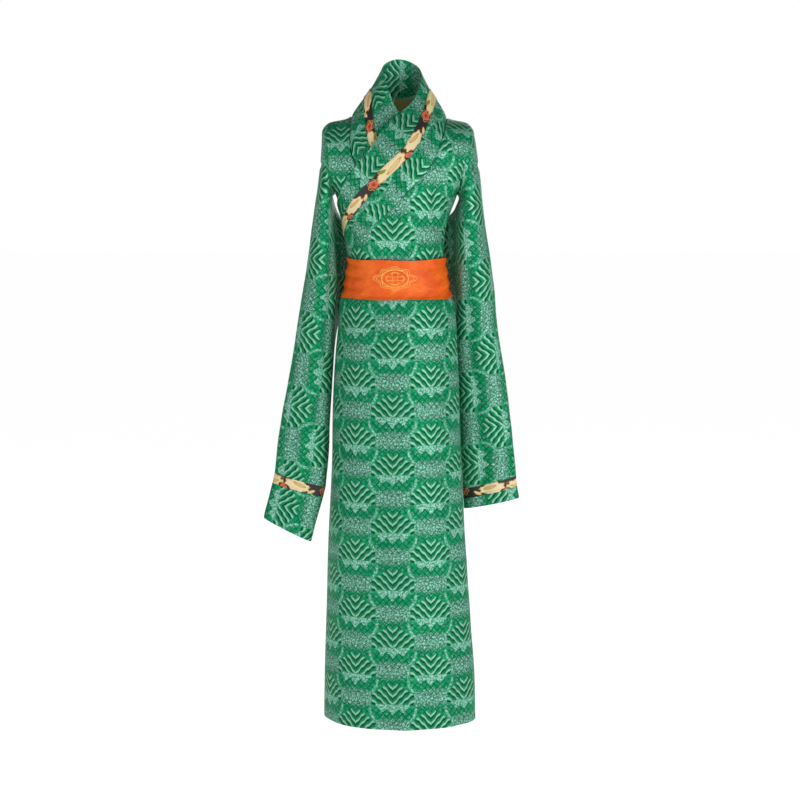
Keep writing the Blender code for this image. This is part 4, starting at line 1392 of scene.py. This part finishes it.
def make_print():
    """Printed cotton sateen for the strips: cream petals veined in gold, coral flowers and olive
    touches on black, all with the slight unevenness of a screen print."""
    material, tree, shader, flat = new_material("printed_sateen")
    apart = add(tree, "ShaderNodeSeparateXYZ", None, {0: flat})
    ragged = add(tree, "ShaderNodeTexNoise", {"noise_dimensions": "2D"}, {
        "Vector": flat, "Scale": 0.16, "Detail": 2.0})
    along = add(tree, "ShaderNodeMath", {"operation": "WRAP"}, {
        0: apart.outputs[1], 1: PRINT_REPEAT, 2: 0.0})
    look = colour("#1E1A18")
    for part in PRINT_PARTS:
        reach = add(tree, "ShaderNodeMath", {"operation": "SUBTRACT"}, {0: along, 1: part["along"]})
        reach = add(tree, "ShaderNodeMath", {"operation": "WRAP"}, {
            0: reach, 1: PRINT_REPEAT / 2, 2: -PRINT_REPEAT / 2})
        side = add(tree, "ShaderNodeMath", {"operation": "SUBTRACT"}, {
            0: apart.outputs[0], 1: part["across"]})
        spot = add(tree, "ShaderNodeCombineXYZ", None, {0: side, 1: reach})
        turned_spot = add(tree, "ShaderNodeVectorRotate", {"rotation_type": "Z_AXIS"}, {
            0: spot, "Angle": math.radians(part["turn"])})
        scaled = add(tree, "ShaderNodeVectorMath", {"operation": "DIVIDE"}, {
            0: turned_spot, 1: (part["width"] / 2, part["length"] / 2, 1.0)})
        radius = add(tree, "ShaderNodeVectorMath", {"operation": "LENGTH"}, {0: scaled})
        lobes = add(tree, "ShaderNodeTexGradient", {"gradient_type": "RADIAL"}, {0: scaled})
        lobe_turn = add(tree, "ShaderNodeMath", {"operation": "MULTIPLY"}, {
            0: lobes.outputs[1], 1: 2 * math.pi * part["lobes"]})
        lobe = add(tree, "ShaderNodeMath", {"operation": "COSINE"}, {0: lobe_turn})
        size = add(tree, "ShaderNodeMath", {"operation": "MULTIPLY_ADD"}, {
            0: lobe, 1: part["scallop"], 2: radius.outputs[1]})
        size = add(tree, "ShaderNodeMath", {"operation": "MULTIPLY_ADD"}, {
            0: ragged.outputs[0], 1: 0.3, 2: size})
        inner_edge = PRINT_EDGE - part["rim_share"]
        for edge, tint in ((PRINT_EDGE, part["rim"]), (inner_edge, part["fill"])):
            inside = add(tree, "ShaderNodeMapRange", None, {
                0: size, 1: edge - PRINT_BLEED, 2: edge + PRINT_BLEED, 3: 1.0, 4: 0.0})
            look = add(tree, "ShaderNodeMix", {"data_type": "RGBA"}, {
                0: inside, 6: look, 7: colour(tint)}).outputs[2]
    weave = add(tree, "ShaderNodeTexNoise", {"noise_dimensions": "2D"}, {
        "Vector": flat, "Scale": 0.8, "Detail": 2.0})
    shade = add(tree, "ShaderNodeMapRange", None, {0: weave.outputs[0], 3: 0.82, 4: 1.12})
    final = add(tree, "ShaderNodeVectorMath", {"operation": "SCALE"}, {0: look, "Scale": shade})
    relief = add(tree, "ShaderNodeBump", None, {
        "Strength": 0.35, "Distance": 0.0003, "Height": weave.outputs[0]})
    give(tree, shader, {
        "Base Color": final, "Normal": relief, "Roughness": 0.55, "Sheen Weight": 0.1})
    return material


# ------------------------------------------------------------------ stitches
def stitch_tree(name, twist):
    """Geometry nodes that lay stitches along a line.  Each stitch is a slim six-sided grain of
    thread; twist turns it away from the line's direction."""
    tree = bpy.data.node_groups.new(name, "GeometryNodeTree")
    sockets = (
        ("Line", "INPUT", "NodeSocketGeometry"),
        ("Spacing", "INPUT", "NodeSocketFloat"),
        ("Stitch length", "INPUT", "NodeSocketFloat"),
        ("Thread", "INPUT", "NodeSocketFloat"),
        ("Finish", "INPUT", "NodeSocketMaterial"),
        ("Stitches", "OUTPUT", "NodeSocketGeometry"),
    )
    for socket, direction, kind in sockets:
        tree.interface.new_socket(socket, in_out=direction, socket_type=kind)
    entry = add(tree, "NodeGroupInput")
    line = add(tree, "GeometryNodeMeshToCurve", None, {0: entry.outputs["Line"]})
    points = add(tree, "GeometryNodeCurveToPoints", {"mode": "LENGTH"}, {
        0: line, "Length": entry.outputs["Spacing"]})
    grain = add(tree, "GeometryNodeMeshUVSphere", None, {
        "Segments": 6, "Rings": 4, "Radius": 0.5})
    smooth = add(tree, "GeometryNodeSetShadeSmooth", None, {0: grain})
    uneven = add(tree, "FunctionNodeRandomValue", {"data_type": "FLOAT"}, {
        2: 0.92, 3: 1.08, "Seed": 4})
    length = add(tree, "ShaderNodeMath", {"operation": "MULTIPLY"}, {
        0: entry.outputs["Stitch length"], 1: uneven.outputs[1]})
    size = add(tree, "ShaderNodeCombineXYZ", None, {
        0: entry.outputs["Thread"], 1: entry.outputs["Thread"], 2: length})
    facing = add(tree, "FunctionNodeRotateRotation", {"rotation_space": "LOCAL"}, {
        0: points.outputs["Rotation"], 1: (0.0, math.radians(twist), 0.0)})
    placed = add(tree, "GeometryNodeInstanceOnPoints", None, {
        "Points": points, "Instance": smooth, "Rotation": facing, "Scale": size})
    real = add(tree, "GeometryNodeRealizeInstances", None, {0: placed})
    finished = add(tree, "GeometryNodeSetMaterial", None, {
        0: real, "Material": entry.outputs["Finish"]})
    add(tree, "NodeGroupOutput", None, {0: finished})
    return tree


# From one stitch to the next, each stitch's length and its thread's thickness.  They are a little
# coarser than real ones, so that they show.
SEAM_STITCH = (3.2, 2.5, 0.55)
HEM_STITCH = (4.0, 2.6, 0.55)
SASH_STITCH = (3.2, 2.5, 0.5)
EMBLEM_STITCH = (0.7, 3.6, 1.5)


def sew(name, tree, lines, finish, sizes):
    """Stitches along lines of points, as one piece.  A closed line repeats its first point."""
    spacing, stitch, thread = sizes
    mesh = bpy.data.meshes.new(name + "_lines")
    points = [point * METRES_PER_MM for line in lines for point in line]
    edges = []
    start = 0
    for line in lines:
        edges += [(start + i, start + i + 1) for i in range(len(line) - 1)]
        start += len(line)
    mesh.from_pydata(points, edges, [])
    guide = put(name + "_lines", mesh)
    sewing = guide.modifiers.new("sewing", "NODES")
    sewing.node_group = tree
    wanted = {
        "Spacing": spacing * METRES_PER_MM,
        "Stitch length": stitch * METRES_PER_MM,
        "Thread": thread * METRES_PER_MM,
        "Finish": finish,
    }
    for item in tree.interface.items_tree:
        if item.in_out == "INPUT" and item.name in wanted:
            sewing[item.identifier] = wanted[item.name]
    evaluated = guide.evaluated_get(bpy.context.evaluated_depsgraph_get())
    data = bpy.data.meshes.new_from_object(evaluated)
    guide.modifiers.remove(sewing)
    bpy.data.objects.remove(guide)
    return put(name, data)


# ------------------------------------------------------------------ pieces
def cut_size(grid, ring=False):
    """A piece's cut before it was sewn, in metres: its longest row, its longest column and its
    area."""
    rows = [row + [row[0]] if ring else row for row in grid]
    width = max(running_lengths(row)[-1] for row in rows)
    length = max(running_lengths(list(column))[-1] for column in zip(*rows))
    area = 0.0
    for low, high in zip(rows, rows[1:]):
        for j in range(len(low) - 1):
            one = (low[j + 1] - low[j]).cross(high[j] - low[j]).length
            two = (high[j + 1] - high[j]).cross(high[j + 1] - low[j + 1]).length
            area += (one + two) / 2
    area *= METRES_PER_MM ** 2
    width *= METRES_PER_MM
    length *= METRES_PER_MM
    return width, length, min(area, width * length)


def declare(piece, nodes, slot, grid, ring=False):
    """Hang a sheet of cloth on the root and hide the nodes that it stands for.  Its cut is worked out but
    not passed on, and the finish, slot, is not used.
    """
    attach(piece, "root")
    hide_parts(*nodes)
    width, length, area = cut_size(grid, ring)


def declare_stitches(piece):
    """Stitches are extra detail: they stand for no node and are no sheet."""
    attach(piece, "root")


def trim_rows(band):
    """The lines of the band that are wide enough to carry the printed strip."""
    wide = [
        i for i, line in enumerate(band)
        if running_lengths(line)[-1] > SEAM_TO_TRIM + TRIM_WIDTH / 2]
    return range(wide[0], wide[-1] + 1)


def moved(line, normals, distance):
    """A line of points moved out from the cloth."""
    return [point + normal * distance for point, normal in zip(line, normals)]


def sleeve_walls(side, sign, armhole, rows, cuff_rows, columns):
    """The sleeve, its printed strip and its brocade cuff, as (name, grid, places, normals)."""
    start_ring, ring_normals = armhole
    rings = between([start_ring] + [sleeve_ring(row) for row in rows], SLEEVE_STEPS)
    strip_ends = [sleeve_ring(row) for row in cuff_rows]
    strip = between([apart(rings[-1], strip_ends[0], SEAM_GAP), strip_ends[0]], STRIP_RINGS)
    cuff = between([apart(strip_ends[0], strip_ends[1], SEAM_GAP), strip_ends[1]], CUFF_RINGS)
    whole_length = middle_line(rings + strip[1:] + cuff[1:])[1][-1]
    made = []
    begun = 0.0
    for name, part, column in (
            ("sleeve_" + side, rings, columns[0]),
            ("cuff_trim_" + side, strip, None),
            ("cuff_" + side, cuff, columns[1])):
        part = [from_underarm(ring, sign) for ring in part]
        lies = ring_places(part, sign)
        normals = grid_normals(list(reversed(part)), True)
        normals.reverse()
        folded = []
        for ring, out, lying in zip(part, normals, lies):
            folded.append([
                point + normal * sleeve_crease(sign, along + begun, around, whole_length)
                for point, normal, (along, around) in zip(ring, out, lying)])
        if column is None:
            start, fan_top = 0.0, -PRINT_START
        else:
            start, fan_top = length_at(part, column), SLEEVE_FAN_TOP
        places = [[(a - start, b - fan_top) for a, b in row] for row in lies]
        begun += middle_line(part)[1][-1]
        normals = grid_normals(list(reversed(folded)), True)
        if name == "sleeve_" + side:
            wanted = from_underarm(ring_normals, sign)
            normals[-1] = [
                (own * (1 - panel.length) + panel).normalized()
                for own, panel in zip(normals[-1], wanted)]
        made.append((name, list(reversed(folded)), list(reversed(places)), normals))
    return made


def make_cloths():
    """The robe's cloths and threads."""
    return {
        "brocade": make_brocade(fan_group()),
        "lining": make_lining_cloth(),
        "print": make_print(),
        "tape": make_tape(),
        "satin": make_satin(),
        # each thread has a dark and a lit shade, mixed as painted highlights
        "green": make_thread("green_thread", "#0E6B45", "#2FA673"),
        "gold": make_thread("gold_thread", "#FFB436", "#FFE08A"),
        "orange": make_thread("orange_thread", "#C23A08", "#F0621C"),
        "black": make_thread("black_thread", "#191614", "#3A332E"),
    }


def make_panels(cloths):
    """The two fronts and the back.  Gives each one's plain grid, and its creased one with normals."""
    outer_plain, outer_places = front_grid(OUTER_SEAM, OUTER_SEAM_TURN, OUTER_FIGURE, True)
    inner_plain, inner_places = front_grid(INNER_SEAM, INNER_SEAM_TURN, INNER_FIGURE, False)
    back_plain, back_places = back_grid()
    outer = creased(outer_plain, panel_normals(outer_plain))
    outer = dipped(outer, panel_normals(outer), False)
    inner = creased(inner_plain, panel_normals(inner_plain))
    inner = dipped(inner, panel_normals(inner), True)
    back_out = [[-normal for normal in row] for row in panel_normals(back_plain)]
    back = creased(back_plain, back_out)
    outer_normals = panel_normals(outer)
    inner_normals = panel_normals(inner)
    back_normals = [[-normal for normal in row] for row in panel_normals(back)]

    cloth = (cloths["brocade"], cloths["lining"])
    piece = wall("front_outer", outer, outer_places, cloth, normals=outer_normals)
    declare(piece, ["front_outer_skirt", "front_outer_bodice"], "brocade", outer)
    piece = wall("front_inner", inner, inner_places, cloth, normals=inner_normals)
    declare(piece, ["front_inner_skirt", "front_inner_bodice"], "brocade", inner)
    piece = wall("back", turned(back), turned(back_places), cloth, normals=turned(back_normals))
    declare(piece, ["back_skirt", "back_bodice"], "brocade", back)
    plain = (outer_plain, inner_plain, back_plain)
    return plain, ((outer, outer_normals), (inner, inner_normals), (back, back_normals))


def make_collar(cloths, plain_panels):
    """The band with its printed strip, the lining inside the neck and the hanger loop.  Gives the
    grids of the band and the strip."""
    band_plain, neck_first, neck_last = band_grid(*plain_panels)
    band_lies = band_places(band_plain)
    band = creased(band_plain, grid_normals(band_plain, False))
    band = dipped(band, grid_normals(band, False), True)
    piece = wall("collar_band", band, band_lies, (cloths["brocade"], cloths["brocade"]))
    declare(piece, ["collar_band"], "brocade", band)

    rows = trim_rows(band)
    columns = range(FREE_COLUMNS, FREE_COLUMNS + TRIM_COLUMNS + 1)
    on_top = CLOTH / 2 + SEAM_GAP + TRIM_CLOTH / 2
    strip = on_band(band, rows, columns, on_top)
    strip_lies = [
        [(band_lies[i][j][0] - band_lies[i][columns[0]][0], band_lies[i][j][1]) for j in columns]
        for i in rows]
    piece = wall("collar_trim", strip, strip_lies, (cloths["print"], cloths["print"]), TRIM_CLOTH)
    declare(piece, ["collar_trim"], "printed_trim", strip)

    inside = range(FREE_COLUMNS + TRIM_COLUMNS, len(band[0]))
    neck_rows = range(neck_first, neck_last + 1)
    neck = on_band(band, neck_rows, inside, -on_top)
    for row in neck:
        row[-1] = row[-1].lerp(row[-2], 0.3)
    neck_lies = [[band_lies[i][j] for j in inside] for i in neck_rows]
    piece = wall("neck_lining", neck, neck_lies, (cloths["lining"], cloths["lining"]), TRIM_CLOTH)
    declare(piece, ["neck_lining"], "lining", neck)

    loop, loop_lies = loop_grid(neck)
    piece = wall("hanger_loop", loop, loop_lies, (cloths["tape"], cloths["tape"]), TRIM_CLOTH)
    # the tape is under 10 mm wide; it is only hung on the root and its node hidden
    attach(piece, "root")
    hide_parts("hanger_loop")
    return band, strip


def make_sleeves(cloths, panels):
    """Both sleeves with their printed strips and cuffs.  Gives the lines to stitch along the strips
    and along the cuffs' ends."""
    cloth = (cloths["brocade"], cloths["lining"])
    kinds = {
        "sleeve": ("brocade", cloth),
        "cuff_trim": ("printed_trim", (cloths["print"], cloths["print"])),
        "cuff": ("brocade", (cloths["brocade"], cloths["brocade"])),
    }
    outer, inner, back = panels
    left = armhole_ring(outer, back, -1, -2)
    right = armhole_ring(inner, back, 0, 1)
    sleeves = (
        ("left", 1, left, SLEEVE_LEFT, CUFF_LEFT, (SLEEVE_LEFT_COLUMN, CUFF_LEFT_COLUMN)),
        ("right", -1, right, SLEEVE_RIGHT, CUFF_RIGHT, (SLEEVE_RIGHT_COLUMN, CUFF_RIGHT_COLUMN)),
    )
    strip_lines = []
    end_lines = []
    for side, sign, armhole, table_rows, cuff_rows, figure in sleeves:
        for name, grid, lies, normals in sleeve_walls(
                side, sign, armhole, table_rows, cuff_rows, figure):
            kind = name.rsplit("_", 1)[0]
            slot, finishes = kinds[kind]
            piece = wall(name, grid, lies, finishes, ring=True, normals=normals)
            nodes = [name]
            if kind == "sleeve":
                nodes = [name + "_lower", name + "_upper"]
            declare(piece, nodes, slot, grid, ring=True)
            outside = [moved(row, out, CLOTH / 2) for row, out in zip(grid, normals)]
            if kind == "cuff_trim":
                strip_lines += [outside[i] + outside[i][:1] for i in (1, -2)]
            if kind == "cuff":
                end_lines.append(outside[1] + outside[1][:1])
    return strip_lines, end_lines


def make_robe():
    """Every piece of the robe and then its stitches, each declared as it is made."""
    cloths = make_cloths()
    plain_panels, panels = make_panels(cloths)
    band, strip = make_collar(cloths, plain_panels)
    sash, sash_lies = sash_grid()
    piece = wall("sash", sash, sash_lies, (cloths["satin"], cloths["satin"]))
    declare(piece, ["sash"], "sash_satin", sash)

    sew_tree = stitch_tree("running_stitch", 0.0)
    fill_tree = stitch_tree("satin_stitch", 72.0)
    strip_normals = grid_normals(strip, False)
    seams = []
    for edge, near in ((0, 1), (-1, -2)):
        line = [row[edge].lerp(row[near], 0.5) for row in strip]
        seams.append(moved(line, [row[edge] for row in strip_normals], TRIM_CLOTH / 2))
    piece = sew("trim_stitches", sew_tree, seams, cloths["black"], SEAM_STITCH)
    declare_stitches(piece)

    strip_lines, end_lines = make_sleeves(cloths, panels)
    piece = sew("cuff_trim_stitches", sew_tree, strip_lines, cloths["black"], SEAM_STITCH)
    declare_stitches(piece)

    hem_lines = [moved(grid[2], normals[2], CLOTH / 2) for grid, normals in panels]
    edge = [line[1].lerp(line[0], 0.4) for line in band]
    edge_normals = [line[1] for line in grid_normals(band, False)]
    hem_lines.append(moved(edge, edge_normals, CLOTH / 2))
    piece = sew("hem_stitches", sew_tree, hem_lines + end_lines, cloths["green"], HEM_STITCH)
    declare_stitches(piece)

    sash_normals = grid_normals(sash, False)
    sash_lines = [moved(sash[i], sash_normals[i], CLOTH / 2) for i in (1, -2)]
    piece = sew("sash_stitches", sew_tree, sash_lines, cloths["orange"], SASH_STITCH)
    declare_stitches(piece)
    lines = emblem_lines(sash, sash_normals)
    piece = sew("sash_emblem", fill_tree, lines, cloths["gold"], EMBLEM_STITCH)
    declare_stitches(piece)


def loop_grid(lining):
    """The hanger loop: a flat tape, sewn in at the lining's top edge, that hangs in a U."""
    middle = min((row[0] for row in lining), key=lambda point: abs(point.x - LOOP_ACROSS))
    centre = Vector((LOOP_ACROSS, middle.y - LOOP_STAND_OFF, middle.z + 1))
    tape = []
    places = []
    count = 32
    across = [LOOP_TAPE * k / 3 for k in range(4)]
    for i in range(count + 1):
        angle = math.pi * i / count
        arm = Vector((math.cos(angle), 0, -LOOP_DROP / LOOP_RADIUS * math.sin(angle)))
        tape.append([centre + arm * (LOOP_RADIUS - LOOP_TAPE / 2 + side) for side in across])
        places.append([(side, LOOP_DROP * 3 * i / count) for side in across])
    return tape, places


# ------------------------------------------------------------------ the sash's emblem
EMBLEM_X = -6.6            # its middle, across the front
EMBLEM_HALF_WIDTH = 48.0
EMBLEM_HALF_HEIGHT = 32.0
EMBLEM_RISE = 4.0          # its middle, above the sash's
EMBLEM_STAND_OFF = 0.1     # of its thread, from the satin


def on_sash(sash, normals, x, up):
    """The point of the sash's front surface at a distance across and above its middle line."""
    middle_row = len(sash) // 2
    height = (SASH_TOP - SASH_BOTTOM) / (len(sash) - 1)
    level = middle_row + up / height
    i = max(0, min(len(sash) - 2, math.floor(level)))
    part = level - i
    row = [a.lerp(b, part) for a, b in zip(sash[i], sash[i + 1])]
    out = [a.lerp(b, part) for a, b in zip(normals[i], normals[i + 1])]
    for j in range(len(row) - 1):
        if row[j].y < 0 and row[j].x <= x < row[j + 1].x:
            share = (x - row[j].x) / (row[j + 1].x - row[j].x)
            return row[j].lerp(row[j + 1], share) + out[j] * (CLOTH / 2 + EMBLEM_STAND_OFF)
    return row[len(row) // 2]


def closed_curve(radius, count=120):
    """A closed line round the emblem's middle; radius gives the shares of its half sizes at a
    turn."""
    line = []
    for i in range(count + 1):
        turn = 2 * math.pi * i / count
        share = radius(turn)
        line.append((math.cos(turn) * share, math.sin(turn) * share))
    return line


def emblem_lines(sash, normals):
    """A lobed frame with points at its sides, two rings in it, four loops and four bars."""
    def frame_line(turn):
        lobes = 0.065 * math.cos(8 * turn)
        points = 0.16 * max(0.0, math.cos(turn)) ** 24 + 0.16 * max(0.0, -math.cos(turn)) ** 24
        return 0.84 + lobes + points

    flat = [
        closed_curve(frame_line),
        closed_curve(lambda turn: frame_line(turn) * 0.86),
        closed_curve(lambda turn: 0.64),
    ]
    # four loops, upright and level, and a short bar past each of them
    for turn in (0, 1, 2, 3):
        away = turn * math.pi / 2
        petal = []
        for i in range(31):
            sweep = math.pi * 2 * i / 30
            reach = 0.27 - 0.17 * math.cos(sweep)
            width = 0.15 * math.sin(sweep)
            petal.append((
                math.cos(away) * reach - math.sin(away) * width,
                math.sin(away) * reach + math.cos(away) * width))
        flat.append(petal)
    for side in (-1, 1):
        flat.append([(side * 0.33, 0.26), (side * 0.42, 0.12), (side * 0.42, -0.12), (side * 0.33, -0.26)])
        flat.append([(-0.24, side * 0.36), (-0.1, side * 0.47), (0.1, side * 0.47), (0.24, side * 0.36)])
    lines = []
    for line in flat:
        lines.append([
            on_sash(
                sash, normals, EMBLEM_X + x * EMBLEM_HALF_WIDTH, EMBLEM_RISE + y * EMBLEM_HALF_HEIGHT)
            for x, y in line])
    return lines


# ------------------------------------------------------------------ floor, light and camera
FLOOR_REACH = 40.0         # metres, as everything here
FLOOR_GAP = 0.06           # between the hem and the floor
LIT_POINT = Vector((0, 0, -0.65))
CAMERA_PLACE = (0.005, -4.3, -0.163)
CAMERA_VIEW = Vector((0, 4.3, -0.483))
SOFT_BOXES = table(
    "name azimuth elevation distance width height power",
    ("key", 40, 10, 3.4, 0.8, 2.6, 52),
    ("side", -52, 8, 3.4, 0.5, 2.6, 17),
    ("front", -8, 40, 3.8, 2.2, 1.6, 14),
    ("behind", 168, 25, 3.8, 1.6, 2.4, 42),
    ("behind_left", -140, 25, 3.8, 0.8, 2.4, 8),
)


def set_stage():
    """A pale floor just under the hem, and five soft boxes: two from the sides, a weak one from
    above in front and two behind."""
    size = FLOOR_REACH
    level = HEM_HEIGHT * METRES_PER_MM - FLOOR_GAP
    mesh = bpy.data.meshes.new("studio_floor")
    corners = [(-size, -size, level), (size, -size, level), (size, size, level), (-size, size, level)]
    mesh.from_pydata(corners, [], [(0, 1, 2, 3)])
    floor = put("studio_floor", mesh)
    paint = bpy.data.materials.new("white_studio_paint")
    paint.use_nodes = True
    tree = paint.node_tree
    shader = tree.nodes["Principled BSDF"]
    mottle = add(tree, "ShaderNodeTexNoise", None, {"Scale": 3.0})
    look = add(tree, "ShaderNodeMix", {"data_type": "RGBA"}, {
        0: mottle.outputs[0], 6: colour("#848483"), 7: colour("#888887")})
    give(tree, shader, {
        "Base Color": look.outputs[2], "Roughness": 0.9,
        "Emission Color": colour("#FFFFFF"), "Emission Strength": 0.97})
    mesh.materials.append(paint)

    for box in SOFT_BOXES:
        light = bpy.data.lights.new(box["name"] + "_light", "AREA")
        light.shape = "RECTANGLE"
        light.size = box["width"]
        light.size_y = box["height"]
        light.energy = box["power"]
        lamp = put(box["name"] + "_light", light)
        turn = math.radians(box["azimuth"])
        rise = math.radians(box["elevation"])
        away = Vector((math.sin(turn) * math.cos(rise), -math.cos(turn) * math.cos(rise), math.sin(rise)))
        lamp.location = LIT_POINT + away * box["distance"]
        lamp.rotation_euler = (-away).to_track_quat("-Z", "Y").to_euler()

    world = bpy.data.worlds.new("studio")
    bpy.context.scene.world = world
    world.use_nodes = True
    tree = world.node_tree
    seen = add(tree, "ShaderNodeLightPath")
    strength = add(tree, "ShaderNodeMapRange", None, {0: seen.outputs[0], 3: 0.07, 4: 1.0})
    give(tree, tree.nodes["Background"], {"Strength": strength, "Color": colour("#FFFFFF")})
    bpy.context.scene.view_settings.view_transform = "Standard"

    camera = bpy.data.cameras.new("camera")
    camera.sensor_width = 36.0
    camera.lens = 81.13
    viewer = put("camera", camera)
    viewer.location = CAMERA_PLACE
    viewer.rotation_euler = CAMERA_VIEW.to_track_quat("-Z", "Y").to_euler()
    bpy.context.scene.camera = viewer


set_stage()
make_robe()
